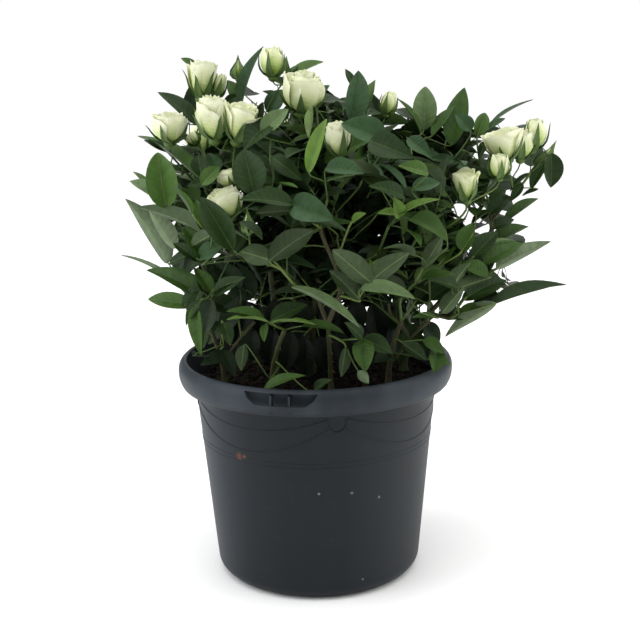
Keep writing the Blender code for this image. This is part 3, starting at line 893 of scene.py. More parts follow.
def petal(shell, azimuth, radius, length, stage, rng):
    """One petal in the bloom's own axes, from the innermost shell, 0, to the outermost, 1."""
    _, close, flare, roll, lower, _, _ = STAGES[stage]
    u = np.linspace(-1, 1, PETAL_ACROSS)[None, :]
    v = np.linspace(0, 1, PETAL_ALONG)[:, None] ** 0.85
    peak = rng.uniform(-0.03, 0.05) * shell
    rise = v * (1 - (0.12 + 0.18 * shell) * np.abs(u) ** 2.5 + peak * np.exp(-(u * 3) ** 2))
    half = math.radians(96 - 44 * shell) * (
        0.42 + 0.58 * np.sin(np.minimum(v * 1.9, 1) * math.pi / 2))
    theta = azimuth + u * half + 0.22 * v * rng.uniform(-1, 1)
    reach = radius * (0.12 + 0.88 * shell ** 0.75)
    lip = np.clip((rise - 0.60) / 0.40, 0, 1)
    edge = np.clip((np.abs(u) - 0.45) / 0.55, 0, 1) ** 2 * np.clip((rise - 0.25) / 0.4, 0, 1)
    out = reach * belly(rise, close) * (1 + 0.07 * u + 0.04 * rng.uniform(-1, 1))
    swing = rng.uniform(0.2, 1.0)
    out = out + flare * swing * shell ** 2 * radius * np.clip(rise - 0.2, 0, 1) ** 1.3
    ruffle = rng.uniform(0, 6.28)
    curl = roll * rng.uniform(0.3, 1.4)
    out = out + curl * radius * (0.05 + 0.20 * shell) * lip ** 2
    out = out + radius * (0.05 * shell + 0.015) * rng.uniform(0.4, 1.6) * edge
    out = out + radius * (0.05 * np.sin(u * 4.6 + ruffle)
                          + 0.018 * np.sin(u * 7.8 + ruffle * 3)) * lip
    out = out + radius * 0.025 * np.sin(u * 7 + ruffle * 2) * np.clip(rise - 0.2, 0, 1)
    tall = length * (1.0 - lower * shell ** 1.6 * rng.uniform(0.1, 1.0) - 0.05 * (1 - shell)
                     + 0.02 * rng.uniform(-1, 1))
    up = tall * rise - curl * length * (0.02 + 0.08 * shell) * lip ** 2
    up = up + length * (0.020 * np.sin(u * 3.9 + ruffle * 2)
                        + 0.006 * np.sin(u * 8 + ruffle)) * lip
    return np.stack([out * np.cos(theta), out * np.sin(theta), up], axis=2)


BLADE_THICK = 0.00030
LEAF_STATIONS = np.array([0, 0.05, 0.17, 0.34, 0.53, 0.72, 0.88, 1.0])
NEAR_STATIONS = np.array([0, 0.03, 0.08, 0.15, 0.24, 0.34, 0.44, 0.54, 0.64, 0.73, 0.82, 0.90,
                          0.96, 1.0])


def leaf_halves(stations):
    """The share of its half width that a leaflet has along its length, with a drawn-out tip."""
    halves = (np.sin(math.pi * stations ** 0.78) ** 0.82
              * (1 - 0.10 * stations - 0.10 * stations ** 6))
    return np.where(stations == 0, 0.06, np.where(stations == 1, 0, halves))


def leaf_faces(stations):
    """The faces that leaflets share: lamina, rib and lamina above and below."""
    faces, kinds = [], []
    ring = (0, 1, 2, 3, 4, 5, 7, 6, 0)
    kind_of = (0, 0, 1, 0, 0, 2, 3, 2)
    full = len(stations) - 1
    for i in range(full):
        a, b = i * 8, (i + 1) * 8
        for (p, q), kind in zip(zip(ring, ring[1:]), kind_of):
            faces.append((a + p, a + q, b + q, b + p) if i < full - 1 else (a + p, a + q, b))
            kinds.append(kind)
    faces.append((6, 7, 5, 4, 3, 2, 1, 0))
    kinds.append(2)
    rim = [True, False, False, False, False, True, False, False] * full + [True]
    return faces, np.array(kinds), np.array(rim)


LEAF_FACES, LEAF_KINDS, LEAF_RIM = leaf_faces(LEAF_STATIONS)
NEAR_FACES, NEAR_KINDS, NEAR_RIM = leaf_faces(NEAR_STATIONS)
LEAF_HALVES, NEAR_HALVES = leaf_halves(LEAF_STATIONS), leaf_halves(NEAR_STATIONS)


def blade(line, side, above, half, fold, pleat, rng):
    """The skin of a folded blade: its midrib's points, the ways to its side and its upper
    face there, and its half widths. Each half lifts from the midrib by the fold."""
    widest = half.max() + 1e-9
    stations = np.linspace(0, 1, len(half))
    rib = np.minimum(half * 0.9, 0.00042 - 0.00024 * stations)
    wave = rng.uniform(-0.05, 0.05) + 0.05 * np.sin(stations * 9 + rng.uniform(0, 6.28))
    pleats = pleat * widest * np.where(np.arange(len(half)) % 2, 1, -1) * (half > 0.3 * widest)
    steep, flat = math.radians(fold + 9), math.radians(fold - 8)
    wings = []
    for sign in (-1, 1):
        mid_out = rib + (half - rib) * 0.52 * math.cos(steep)
        mid_up = (half - rib) * 0.52 * math.sin(steep) + pleats
        rim_out = mid_out + (half - rib) * 0.48 * math.cos(flat)
        rim_up = mid_up - pleats + (half - rib) * 0.48 * math.sin(flat) + wave * half * sign
        wings.append(((sign * rim_out, rim_up), (sign * mid_out, mid_up), (sign * rib, 0 * rib)))
    left, right = wings
    keel = 0.9 * BLADE_THICK + 0.0005 * (half / widest) ** 0.5
    profile = [left[0], left[1], left[2], right[2], right[1], right[0],
               (-rib * 1.3, -keel), (rib * 1.3, -keel)]
    points = np.stack([line + out[:, None] * side + up[:, None] * above
                       for out, up in profile], axis=1)
    return np.concatenate([points[:-1].reshape(-1, 3), points[-1, :1]])


def leaflet(base, way, normal, length, width, fold, rise, droop, rng, near=False):
    """A leaflet from its base: its midrib starts rise degrees above its way and ends droop
    degrees below it. Also gives the midrib."""
    way = np.asarray(way, float) / norm(way)
    normal = np.asarray(normal, float)
    normal = normal - way * normal.dot(way)
    normal /= norm(normal) + 1e-12
    side = np.cross(way, normal)
    stations, halves = (NEAR_STATIONS, NEAR_HALVES) if near else (LEAF_STATIONS, LEAF_HALVES)
    steps = np.diff(stations, prepend=0)
    angle = math.radians(rise) - math.radians(rise + droop) * (stations - steps / 2)
    ahead = np.cumsum(np.cos(angle) * steps) * length
    lift = np.cumsum(np.sin(angle) * steps) * length
    sway = rng.uniform(-0.05, 0.05) * length * stations ** 2
    line = (np.asarray(base) + ahead[:, None] * way + lift[:, None] * normal
            + sway[:, None] * side)
    above = np.cos(angle)[:, None] * normal - np.sin(angle)[:, None] * way
    return blade(line, side, above, halves * width / 2, fold, 0.022, rng), line


blossom_heap, sepal_heap = Heap(), Heap()
bloom_rng = random.Random(21)
bloom_stems, bloom_guards = [], []
SEPAL_HALVES = np.array([0.80, 0.98, 1.0, 0.84, 0.58, 0.36, 0.15, 0])


def sepal(axes, foot, turn, radius, hip_radius, length, stage, rng):
    """A sepal that hugs the petals for part of its length and then bows away."""
    _, close, flare, _, _, hug, share = STAGES[stage]
    long = length * share * rng.uniform(0.85, 1.15)
    along = LEAF_STATIONS * long
    out_way = axes @ np.array([math.cos(turn), math.sin(turn), 0])
    up_way = axes[:, 2]
    hugged = np.minimum(along, hug * length * rng.uniform(0.8, 1.2))
    free = along - hugged
    close_to = radius * belly(hugged / length, close) * 1.09 + 0.0006
    close_to = close_to + flare * radius * np.clip(hugged / length - 0.2, 0, 1)
    lean = 0.05 if stage in ("green", "bud") else math.radians(rng.uniform(8, 55))
    out = np.maximum(close_to, hip_radius * 0.7) + free * math.sin(lean)
    rise = hugged * 0.97 + free * math.cos(lean)
    if stage == "green":
        out = np.maximum(out * (1 - LEAF_STATIONS ** 3), 0.0002)
    line = foot + out[:, None] * out_way + rise[:, None] * up_way
    here = np.gradient(line, axis=0)
    here /= norm(here, axis=1)[:, None]
    across = np.cross(axes[:, 2], out_way)
    above = np.cross(across, here)
    half = SEPAL_HALVES * min(0.0042, 0.105 * long + 0.0011)
    return blade(line, across, above, half, 16, 0, rng)


HIP_ROWS = ((0.0, 0.26), (0.12, 0.62), (0.34, 0.98), (0.58, 1.0), (0.82, 0.86), (1.02, 0.90))
PETAL_EDGES = 0.9 * np.abs(np.linspace(-1, 1, PETAL_ACROSS - 1)) ** 2 - 0.3


def add_bloom(base, top, radius, stage, tint):
    """A bloom between two points: hip, petals and sepals. The tint is in shades, paler up."""
    base, top = Vector(base), Vector(top)
    axis = (top - base).normalized()
    axes = axes_along(axis)
    whole = (top - base).length
    hip = whole * HIP_SHARE
    length = (whole - hip) * 1.03
    foot = np.array(base + axis * hip * 0.72)
    start = bloom_rng.uniform(0, 6.28)
    petals = STAGES[stage][0]
    tint += {"green": -5.0, "bud": -0.6}.get(stage, bloom_rng.uniform(-0.5, 0.4))
    for k in range(petals):
        shell = (k / (petals - 1)) ** 0.9
        grid = petal(shell, start + k * GOLDEN_TURN, radius, length, stage, bloom_rng)
        points, faces, bands, rim = double_sheet(grid @ axes.T + foot, PETAL_THICK)
        shade = bands * (PETAL_SHADES - 2) / (PETAL_ALONG - 2) + 1.2 + tint
        shade = shade + np.tile(np.repeat(PETAL_EDGES, 2), PETAL_ALONG - 1)
        shade = shade - (2.2 if shell < 0.25 else 0) + bloom_rng.uniform(-0.7, 0.7)
        shade = np.clip(np.rint(shade), 0, PETAL_SHADES - 1).astype(int)
        blossom_heap.add(points, faces, shade, rim)
    hip_radius = min(0.0050, 0.28 * radius + 0.0010)
    sepal_heap.add(*tube([base + axis * hip * rise for rise, _ in HIP_ROWS],
                         [hip_radius * share for _, share in HIP_ROWS], 10), 0)
    kinds = np.choose(LEAF_KINDS, (1, 2, 3, 2))
    for k in range(5):
        turn = start + k * math.radians(72) + bloom_rng.uniform(-0.15, 0.15)
        skin = sepal(axes, foot - axes[:, 2] * hip * 0.02, turn, radius, hip_radius, length,
                     stage, bloom_rng)
        sepal_heap.add(skin, LEAF_FACES, kinds, LEAF_RIM)
    bloom_stems.append((np.array(base), np.array(axis), BLOOM_LOAD))
    middle = (base + top) / 2
    across, down, depth = shows_at([middle])
    seen_radius = max(radius * 1.15, whole * 0.45) * FOCAL / depth[0]
    bloom_guards.append((across[0], down[0], seen_radius, depth[0]))


for *ends, radius, stage, tint in BLOOMS:
    add_bloom(spot(*ends[:3]), spot(*ends[3:]), radius / 1000, stage, tint)
front_guards = np.array(bloom_guards)
# Where a bloom at the back stands, and the way it is seen from there.
BACKWARDS = np.array([0, 0.94, 0.34])
back_guards = []
for *ends, radius, length, stage in BACK_BLOOMS:
    base, lean = Vector(ends[:3]), Vector(ends[3:]).normalized() * length
    back_guards.append((*(base + lean * 0.0006), radius * 0.00115))
    add_bloom(base, base + lean / 1000, radius / 1000, stage, 0)
back_guards = np.array(back_guards)

petal_paints = []
for number in range(PETAL_SHADES):
    height = number / (PETAL_SHADES - 1)
    colour = [float(np.interp(height, PETAL_HEIGHTS, stops)) for stops in PETAL_STOPS]
    petal_paints.append(Paint(
        f"petal_{number}", colour, 0.6, 0.2, Subsurface_Weight=0.2,
        Subsurface_Radius=(0.5, 0.6, 0.3), Subsurface_Scale=0.004))
blossom_heap.piece("blossom", petal_paints, "bloom_spray", *BLOOM_SPRAYS)
sepal_paints = [Paint("hip", (0.080, 0.140, 0.030), 0.45, 0.25),
                Paint("sepal_inside", (0.090, 0.150, 0.045), 0.55, 0.2),
                Paint("sepal_rib", (0.100, 0.160, 0.050), 0.55, 0.2),
                Paint("sepal_outside", (0.040, 0.090, 0.018), 0.5, 0.2)]
sepal_heap.piece("sepals_and_hips", sepal_paints, "bloom_spray")


# ---- Leaf finishes
# Each spray of leaflets has one finish above, one below and one on its ribs: deep, mid,
# bluish and lime greens on top, and paler, greyer greens underneath. The finishes shaded
# and inner are painted shade: dark greens for the leaves in the crown's shaded inside.
LEAF_COLOURS = {name: tuple(colour) for name, *colour in table("""
shaded 0.0070 0.0125 0.0052     inner 0.0165 0.0310 0.0125      deep 0.012 0.030 0.0055
green 0.029 0.066 0.010         mid 0.047 0.098 0.018           blue 0.026 0.060 0.022
light 0.085 0.135 0.052         lime 0.078 0.148 0.022          olive 0.017 0.030 0.006
grey 0.042 0.067 0.028          dull 0.018 0.032 0.010          pale 0.110 0.151 0.083
soft 0.050 0.088 0.024          lime_under 0.085 0.135 0.038    rib_pale 0.095 0.135 0.050
rib_green 0.036 0.072 0.014""", 4)}
FINISHES = list(LEAF_COLOURS)
# For each shade: the finish on top, on the rib, underneath, and on the rib underneath.
SHADES = {name: np.array([FINISHES.index(part) for part in parts]) for name, *parts in table("""
shaded shaded shaded shaded shaded      inner inner inner inner dull
deep deep rib_green dull grey           green green rib_green soft rib_pale
mid mid rib_pale grey rib_pale          blue blue rib_green grey rib_pale
light light pale pale rib_pale          lime lime rib_pale lime_under rib_pale
olive olive rib_green dull grey         grey green rib_green grey rib_pale
dull deep rib_green dull grey           pale mid rib_pale pale rib_pale""", 5)}
VEINS_EACH_SIDE = 8.5
UP = np.array([0, 0, 1.0])
leaf_paints = [Paint(f"leaf_{name}", colour, 0.5, 0.14) for name, colour in LEAF_COLOURS.items()]


def veined(name, colour):
    """A leaf finish with side veins that run forward from the rib, and soft mottling."""
    paint = Paint(f"near_{name}", colour, 0.5, 0.16)
    where = paint.node("ShaderNodeAttribute", {"attribute_name": "blade_map"}, {}, "Vector")
    along, across, number = (paint.part(where, axis) for axis in "XYZ")
    from_rib = across.math("ABSOLUTE", across, 0.0)
    vein = (along - from_rib * 0.17 + from_rib * from_rib * 0.03) * VEINS_EACH_SIDE + number
    vein = vein.math("PINGPONG", vein, 0.5) * 2.0
    line = (1 - paint.band(vein, 0.0, 0.20)) * (1 - paint.band(from_rib, 0.75, 1.0) * 0.7)
    mottle = paint.speckle(paint.place(), 160.0, 3.0)
    darker = tuple(part * 0.80 for part in colour)
    lighter = tuple(part * 1.22 for part in colour)
    veins = tuple(part * 1.35 + 0.006 for part in colour)
    surface = paint.blend(paint.band(mottle, 0.32, 0.68), darker, lighter)
    surface = paint.blend(paint.band(number, 0.0, 1.0) * 0.35, surface, lighter)
    paint.feed("Base Color", paint.blend(line * 0.32, surface, veins))
    paint.relief(vein.math("SINE", vein * (math.pi / 2), 0.0), 0.0004, 0.35)
    return paint


# Leaflets that show one by one, at the rim of the crown and on its near face: tip and base
# (frame place and depth in mm), width in mm, how far the upper side is turned from the
# camera towards the sky in degrees, fold in degrees, and shade.
LEAVES = {
    "the top, from left to right": """
263 46 5  241 107 -5  17 55 22 blue    324 62 20  291 78 10  16 55 18 mid
286 56 15  292 80 8  6 40 14 mid    284 90 30  268 113 20  17 15 18 blue
158 92 25  197 125 10  18 42 18 deep    227 80 20  240 104 12  14 20 18 green
222 105 8  238 96 8  9 20 18 deep    201 101 0  201 124 0  11 10 18 deep
263 102 6  259 120 4  9 20 18 deep    288 104 0  285 120 0  8 20 18 deep
144 140 8  167 152 0  9 40 16 deep    178 236 -36  192 246 -44  9 30 18 deep
505 118 20  489 128 16  8 40 16 blue    181 58 12  196 68 6  8 40 15 green
345 69 10  353 86 5  8 30 15 deep    361 71 0  351 123 -20  23 10 26 blue
374 80 10  366 113 -5  15 40 18 mid    426 86 20  424 130 8  24 0 26 light
466 88 25  451 146 0  23 12 24 green    457 106 10  432 136 0  13 45 20 green
456 113 -12  471 131 -16  14 20 18 blue    486 113 8  477 137 -2  16 0 32 mid
532 99 38  490 124 20  7 68 15 blue    330 85 14  318 101 6  13 45 18 blue
398 98 8  421 133 0  9 60 18 green    302 64 18  284 83 12  10 60 16 blue""",
    "down the left side": """
133 136 22  200 180 -30  20 62 24 mid    156 152 -36  166 208 -50  33 0 32 mid
129 181 10  158 199 -10  16 42 18 light    134 171 18  151 188 5  6 30 12 mid
127 196 5  168 263 -20  24 152 22 pale    146 206 -12  176 248 -32  17 160 22 pale
137 206 -40  211 239 -80  20 132 20 grey    171 186 -70  192 214 -80  16 74 15 mid
203 196 -86  233 250 -106  27 0 32 deep    194 200 -60  208 236 -75  18 25 18 green
190 248 -72  211 235 -86  14 160 18 grey    197 155 -30  202 177 -45  16 0 20 deep
208 153 -36  217 172 -50  14 30 18 blue    220 167 -52  202 185 -62  14 20 18 mid
187 186 -42  217 183 -60  13 40 18 deep    182 149 0  201 146 -10  9 62 15 grey
119 254 0  190 299 -36  10 112 14 pale    148 299 -14  196 306 -40  17 14 26 mid
190 322 -72  200 291 -62  14 28 20 deep    172 244 -50  200 262 -62  14 35 18 deep
196 259 -72  222 246 -82  15 25 18 blue    193 268 -60  212 293 -72  13 25 18 green
176 232 -44  198 250 -58  12 60 18 mid    200 356 -104  195 306 -84  13 20 22 green
245 276 -92  214 294 -76  14 30 18 deep    147 269 -12  208 300 -46  22 34 22 green
169 265 -26  186 256 -40  9 30 18 deep    190 267 -44  204 259 -52  8 25 18 deep
232 283 -88  208 297 -72  9 70 16 mid    186 326 -92  201 300 -80  10 40 18 deep
183 226 -60  205 262 -72  19 25 22 green""",
    "the near face": """
244 149 -104  254 194 -116  29 0 24 deep    327 118 -100  309 173 -120  13 22 20 lime
364 174 -120  326 168 -106  17 35 18 blue    413 160 -110  370 141 -90  22 12 20 deep
342 122 -62  385 141 -72  26 28 20 blue    239 202 -126  294 205 -116  19 48 20 deep
256 214 -116  293 210 -104  14 150 18 olive    334 220 -130  291 204 -116  24 8 22 blue
347 231 -128  302 221 -114  17 76 16 deep    241 252 -124  273 261 -108  18 170 20 grey
312 228 -128  269 261 -110  21 165 20 dull    280 183 -112  276 206 -100  11 0 30 light
368 186 -124  404 197 -110  14 35 18 deep    243 150 -70  269 122 -50  22 28 20 deep
287 108 -48  262 134 -60  16 20 20 light    308 138 -78  312 106 -62  8 150 16 lime
398 166 -114  428 173 -104  13 30 20 mid    416 300 -118  360 289 -110  16 44 20 light
331 251 -126  374 285 -110  21 170 22 grey    409 252 -118  370 282 -108  17 165 20 grey
330 270 -118  360 300 -104  15 160 18 dull    444 236 -95  423 268 -84  13 168 18 grey
456 275 -95  421 279 -84  11 48 16 green    393 197 -113  400 217 -105  12 20 24 lime
439 198 -113  399 215 -105  10 52 20 lime    377 214 -110  399 214 -105  8 40 18 lime
366 213 -112  352 222 -104  8 40 18 lime    359 329 -120  292 287 -104  17 64 22 light
367 372 -98  362 340 -85  19 0 20 green    392 354 -84  363 338 -84  16 25 20 deep
345 322 -98  362 338 -88  13 30 18 deep    431 157 -60  408 138 -50  14 18 18 blue
440 182 -84  412 190 -92  14 30 20 blue    262 240 -122  240 222 -112  14 60 18 deep""",
    "down the right side": """
550 188 -2  551 153 -6  19 22 20 deep    530 190 -10  544 163 -8  12 25 18 deep
509 191 -14  530 173 -10  7 50 14 deep    511 202 -16  523 184 -14  9 20 18 deep
522 196 -8  538 189 -8  5 40 14 deep    478 159 -12  487 141 -6  8 20 18 deep
540 199 30  504 222 10  12 38 20 green    528 226 10  492 243 -10  17 45 18 green
551 240 -20  496 268 -42  17 155 24 pale    520 243 -28  482 248 -40  9 60 16 light
474 223 -62  462 251 -66  17 15 22 green    458 264 -58  488 274 -50  15 30 20 green
428 281 -78  458 288 -66  13 40 18 deep    464 287 -64  442 313 -66  15 165 20 grey
411 317 -86  438 318 -72  8 50 16 green    523 243 -28  483 264 -50  18 30 18 green
565 283 -30  489 306 -54  18 50 22 deep    505 279 -40  467 297 -60  18 32 20 deep
443 335 -40  496 303 -60  15 150 20 pale    486 305 -50  459 313 -52  10 45 18 mid
470 262 -60  452 288 -66  15 150 20 grey    498 232 -40  474 256 -52  17 20 20 deep
492 277 -52  456 289 -62  12 160 18 grey""",
    "low down, over the compost": """
226 311 -100  265 320 -94  12 52 20 green    226 320 -108  269 322 -95  10 78 16 lime
308 306 -86  271 321 -94  17 32 20 deep    316 325 -108  270 323 -94  10 78 16 lime
264 342 -100  266 324 -94  8 28 18 green    345 333 -96  302 326 -90  12 52 18 green
241 371 -96  244 345 -90  11 165 18 dull    231 346 -88  223 322 -84  11 18 18 deep
306 375 -95  265 389 -91  12 48 18 green    332 379 -94  314 391 -91  10 45 18 deep
340 377 -94  346 347 -85  11 160 18 dull    368 384 -95  358 371 -90  9 165 16 pale
426 361 -75  402 342 -64  14 158 18 dull    433 373 -70  437 348 -60  15 18 18 green
444 354 -66  423 340 -66  12 30 18 green    451 365 -58  438 361 -56  8 40 16 mid""",
    "behind these, in their shade": """
183 308 -40  204 288 -52  15 20 18 deep    198 276 -40  214 300 -52  15 20 18 deep
206 334 -50  211 298 -56  16 12 18 inner    204 349 -40  208 316 -46  10 20 18 deep
228 306 -10  246 290 -14  16 20 18 inner    196 311 -30  210 290 -40  12 20 18 deep
512 197 -10  488 215 -20  14 30 18 deep    506 188 0  490 206 -10  12 22 18 green
514 219 -5  492 229 -15  12 30 16 deep    286 372 -20  291 332 -20  20 10 16 shaded
306 377 -20  304 336 -20  20 12 16 shaded    326 374 -15  319 336 -15  20 10 16 shaded
268 368 -10  274 330 -10  19 14 16 shaded    346 368 -10  338 332 -10  19 12 16 shaded
297 360 0  290 322 0  20 12 16 shaded    254 362 -30  252 328 -30  17 16 16 shaded
214 262 -20  240 290 -30  20 20 18 inner    207 298 -20  234 310 -30  18 15 18 deep
222 333 -20  240 300 -30  18 10 18 inner    236 262 0  250 300 -10  22 10 18 inner
212 328 10  222 290 0  20 10 18 inner    242 335 0  246 300 -10  20 10 18 shaded
500 286 -30  462 300 -44  15 25 20 green    452 283 -40  430 300 -50  16 20 18 deep
436 288 -30  414 304 -40  16 20 18 deep    484 314 -36  455 319 -44  9 30 16 green
402 350 -40  420 326 -30  18 20 20 deep    438 346 -20  424 322 -20  16 15 18 inner
424 358 -30  414 334 -20  14 15 18 deep    207 344 -10  222 322 -10  16 15 18 deep
236 350 0  240 322 0  17 10 18 shaded    262 348 20  258 304 15  22 10 18 shaded
286 348 20  292 302 15  22 10 18 shaded    318 348 20  312 302 15  22 10 18 shaded
344 348 20  338 303 15  21 10 18 shaded    380 348 20  372 303 15  22 10 18 shaded
273 332 5  278 299 0  18 12 18 shaded    304 332 5  301 299 0  18 8 18 shaded
329 332 5  325 299 0  18 14 18 shaded    357 332 5  355 299 0  18 10 18 shaded""",
}


# ---- Growth
# From the ends of the limbs the shoots fork towards every bloom, every leaflet above and
# points spread through each mass. Each shoot joins the wood that is nearest to it, counting
# part of the way back to the root, and thickens with what it carries.
WAY_BACK = 0.42
TURN_PRICE = 0.45
SHOOT_STEP = 0.005
SHORTEST_SHOOT = 0.012
CROSSING_PRICE = 0.004
SHOOT_RADIUS = 0.00055
SHOOT_POWER = 2.3
THICKEST_SHOOT = 0.0019
ROOT_POINT = np.array([0, 0, 0.165])
OUTWARDS_FROM = np.array([0, 0, 0.24])
LOWEST_LEAF = 0.168
LOWEST_SPRAY = 0.180
FILL_SPACING = 0.0205
FILL_TRIES = 260
LOW_SPACING = FILL_SPACING * 0.78
LOW_TRIES = 420
FOLD_MORE = 1.45
LEAF_LOAD, FILL_LOAD = 0.8, 1.0
LEAF_STIFF, SHOOT_STIFF = 0.22, 0.38
# How far leaves keep from openings and blooms: in the frame, and in depth in metres.
SKY_MARGIN = 1.5
GUARD_MARGIN = 3
GUARD_DEPTH = 0.012
growth_rng = random.Random(12)
draw = growth_rng.uniform
limb_points = [(path[i], (path[i] - path[i - 1]).normalized(), i * 0.0015)
               for path in limb_paths.values() for i in range(LIMB_STEPS // 2, LIMB_STEPS)]
wood_place, wood_way, wood_back = (np.array(part, float) for part in zip(*limb_points))
wood_parent = np.full(len(wood_place), -1)
wood_load = np.zeros(len(wood_place))


def unit(vector):
    return vector / norm(vector)


def shaken(most):
    """A vector of three chance parts."""
    return np.array([draw(-most, most) for _ in range(3)])


def shoot_line(start, place, way, stiff):
    """A curve from standing wood to this place, arriving along way."""
    gap = place - wood_place[start]
    far = norm(gap)
    leave = unit(wood_way[start] * 0.35 + gap / far * 0.85)
    t = np.linspace(0, 1, max(3, int(far / SHOOT_STEP)) + 1)[1:, None]
    pull = far * stiff * 2
    return ((2 * t ** 3 - 3 * t ** 2 + 1) * wood_place[start]
            + (t ** 3 - 2 * t ** 2 + t) * leave * pull
            + (-2 * t ** 3 + 3 * t ** 2) * place + (t ** 3 - t ** 2) * way * pull)


def grow_to(place, way, load, stiff):
    """A shoot from the best standing wood to this place, clear of the blooms if it can be."""
    global wood_place, wood_way, wood_back, wood_parent, wood_load
    gap = place - wood_place
    far = norm(gap, axis=1)
    along = (gap * wood_way).sum(axis=1) / (far + 1e-9)
    cost = far * (1 + TURN_PRICE - TURN_PRICE * along) + WAY_BACK * wood_back
    cost[far < SHORTEST_SHOOT] += 1.0
    best = None
    for start in np.argsort(cost)[:60:5]:
        line = shoot_line(start, place, way, stiff)
        price = cost[start] + CROSSING_PRICE * in_front(line[:-1])
        if best is None or price < best[0]:
            best = price, int(start), line
    _, start, line = best
    whole = np.vstack([wood_place[start], line])
    ways = np.gradient(whole, axis=0)[1:]
    ways /= norm(ways, axis=1)[:, None] + 1e-12
    walked = np.cumsum(norm(np.diff(whole, axis=0), axis=1))
    indices = np.arange(len(wood_place), len(wood_place) + len(line))
    wood_place = np.vstack([wood_place, line])
    wood_way = np.vstack([wood_way, ways])
    wood_back = np.concatenate([wood_back, wood_back[start] + walked])
    wood_parent = np.concatenate([wood_parent, [start], indices[:-1]])
    wood_load = np.concatenate([wood_load, np.zeros(len(line))])
    step = int(indices[-1])
    while step >= 0:
        wood_load[step] += load
        step = int(wood_parent[step])
    return start, indices


leaf_heap = {"left": Heap(), "middle": Heap(), "right": Heap()}
near_heap, stalk_heap = Heap(), Heap()
# Where each point of a skin lies on its leaflet: along it and across it.
NEAR_MARKS = np.array([(t, across, 0) for t in NEAR_STATIONS[:-1]
                       for across in (-1, -0.52, -0.04, 0.04, 0.52, 1, -0.04, 0.04)] + [(1, 0, 0)])
# Which small squares of the frame no leaf covers yet.
SQUARE = 3
uncovered = np.ones((IMAGE_SIDE // SQUARE + 1, IMAGE_SIDE // SQUARE + 1), bool)


def hide_behind(points):
    """Marks the squares that a leaflet covers."""
    rows = points[:-1].reshape(-1, 8, 3)[:, :6]
    rows = np.concatenate([rows[1:] * part + rows[:-1] * (1 - part) for part in (0, 0.5, 1)])
    rows = np.concatenate([rows[:, 1:] * part + rows[:, :-1] * (1 - part)
                           for part in (0, 0.34, 0.67, 1)])
    across, down, _ = shows_at(rows.reshape(-1, 3))
    uncovered[(down / SQUARE).astype(int), (across / SQUARE).astype(int)] = False


# The shaded inside of the crown, and the strip that counts as its middle.
INNER_CENTRE = np.array([0.012, 0.0, 0.262])
INNER_HALF = np.array([0.150, 0.130, 0.125]) * 0.60
MIDDLE_FROM, MIDDLE_TO = -0.045, 0.055


def add_blade(points, shade, middle):
    """Adds a leaflet to its heap. Well inside the crown it takes the inner finish, which paints
    the shade there.
    """
    if (((middle - INNER_CENTRE) / INNER_HALF) ** 2).sum() < 1:
        shade = "inner"
    side = "left" if middle[0] < MIDDLE_FROM else "right" if middle[0] > MIDDLE_TO else "middle"
    leaf_heap[side].add(points, LEAF_FACES, SHADES[shade][LEAF_KINDS], LEAF_RIM)
    hide_behind(points)


def turned_to(way, turn, middle):
    """The upper side's normal of a blade, turned from the camera towards the sky."""
    towards = np.array(EYE) - middle
    towards = unit(towards - way * towards.dot(way))
    across = np.cross(way, towards)
    lift = UP + np.array([0.25 * np.sign(middle[0]), 0, 0])
    across *= 1 if across.dot(lift) >= 0 else -1
    return towards * math.cos(math.radians(turn)) + across * math.sin(math.radians(turn))


leaf_guards, goals = [], []
for *ends, width, turn, fold, shade in table(" ".join(LEAVES.values()), 10):
    tip, base = np.array(spot(*ends[:3])), np.array(spot(*ends[3:]))
    length = norm(tip - base)
    way = (tip - base) / length
    normal = turned_to(way, turn, (tip + base) / 2)
    bend = draw(8, 20)
    fold *= FOLD_MORE
    wide = width / 1000 / math.cos(math.radians(fold * 0.5))
    skin, line = leaflet(base, way, normal, length * 1.01, wide, fold, bend, bend,
                         growth_rng, near=True)
    near_heap.add(skin, NEAR_FACES, SHADES[shade][NEAR_KINDS], NEAR_RIM,
                  NEAR_MARKS + (0, 0, growth_rng.random()))
    hide_behind(skin)
    across, down, depth = shows_at(line)
    size = width / 2000 * FOCAL / depth * (0.35 + 0.65 * abs(math.cos(math.radians(turn))))
    leaf_guards += list(zip(across, down, size * NEAR_HALVES, depth))[1:-1:2]
    goals.append((base, unit(way * 0.75 + UP * 0.15), LEAF_LOAD, "leaf"))
goals += [(base, axis, load, "bloom") for base, axis, load in bloom_stems]
leaf_guards = np.array(leaf_guards)


def gaps_to(discs, across, down):
    """How far each place in the frame is from the middle of each disc."""
    return np.hypot(across[:, None] - discs[:, 0], down[:, None] - discs[:, 1])


def allowed(points, margin=0.010):
    """Whether a blade's points keep inside the crown and clear of what they may not hide."""
    if points[:, 2].min() < LOWEST_LEAF or not inside_masses(points, margin).all():
        return False
    across, down, depth = shows_at(points)
    if not inside_outline(across, down).all():
        return False
    if (gaps_to(sky, across, down) < sky[:, 2] + SKY_MARGIN).any():
        return False
    if ((gaps_to(hollows, across, down) < hollows[:, 2])
            & (depth[:, None] < HOLLOW_DEPTH)).any():
        return False
    away = points[:, None, :] - back_guards[None, :, :3]
    beyond = away @ BACKWARDS
    aside = norm(away - beyond[..., None] * BACKWARDS, axis=2)
    if ((beyond > 0) & (aside < back_guards[:, 3])).any():
        return False
    return not any(((gaps_to(guards, across, down) < guards[:, 2] + GUARD_MARGIN)
                    & (depth[:, None] < guards[:, 3] + GUARD_DEPTH)).any()
                   for guards in (front_guards, leaf_guards))


def in_front(points):
    """How many of a shoot's points pass in front of a bloom or of a leaflet placed alone."""
    across, down, depth = shows_at(points)
    crossed = 0.0
    for guards, weight in ((front_guards, 3.0), (leaf_guards, 1.0)):
        hides = (gaps_to(guards, across, down) < guards[:, 2]) & (
            depth[:, None] < guards[:, 3] - 0.001)
        crossed += weight * hides.any(axis=1).sum()
    return crossed


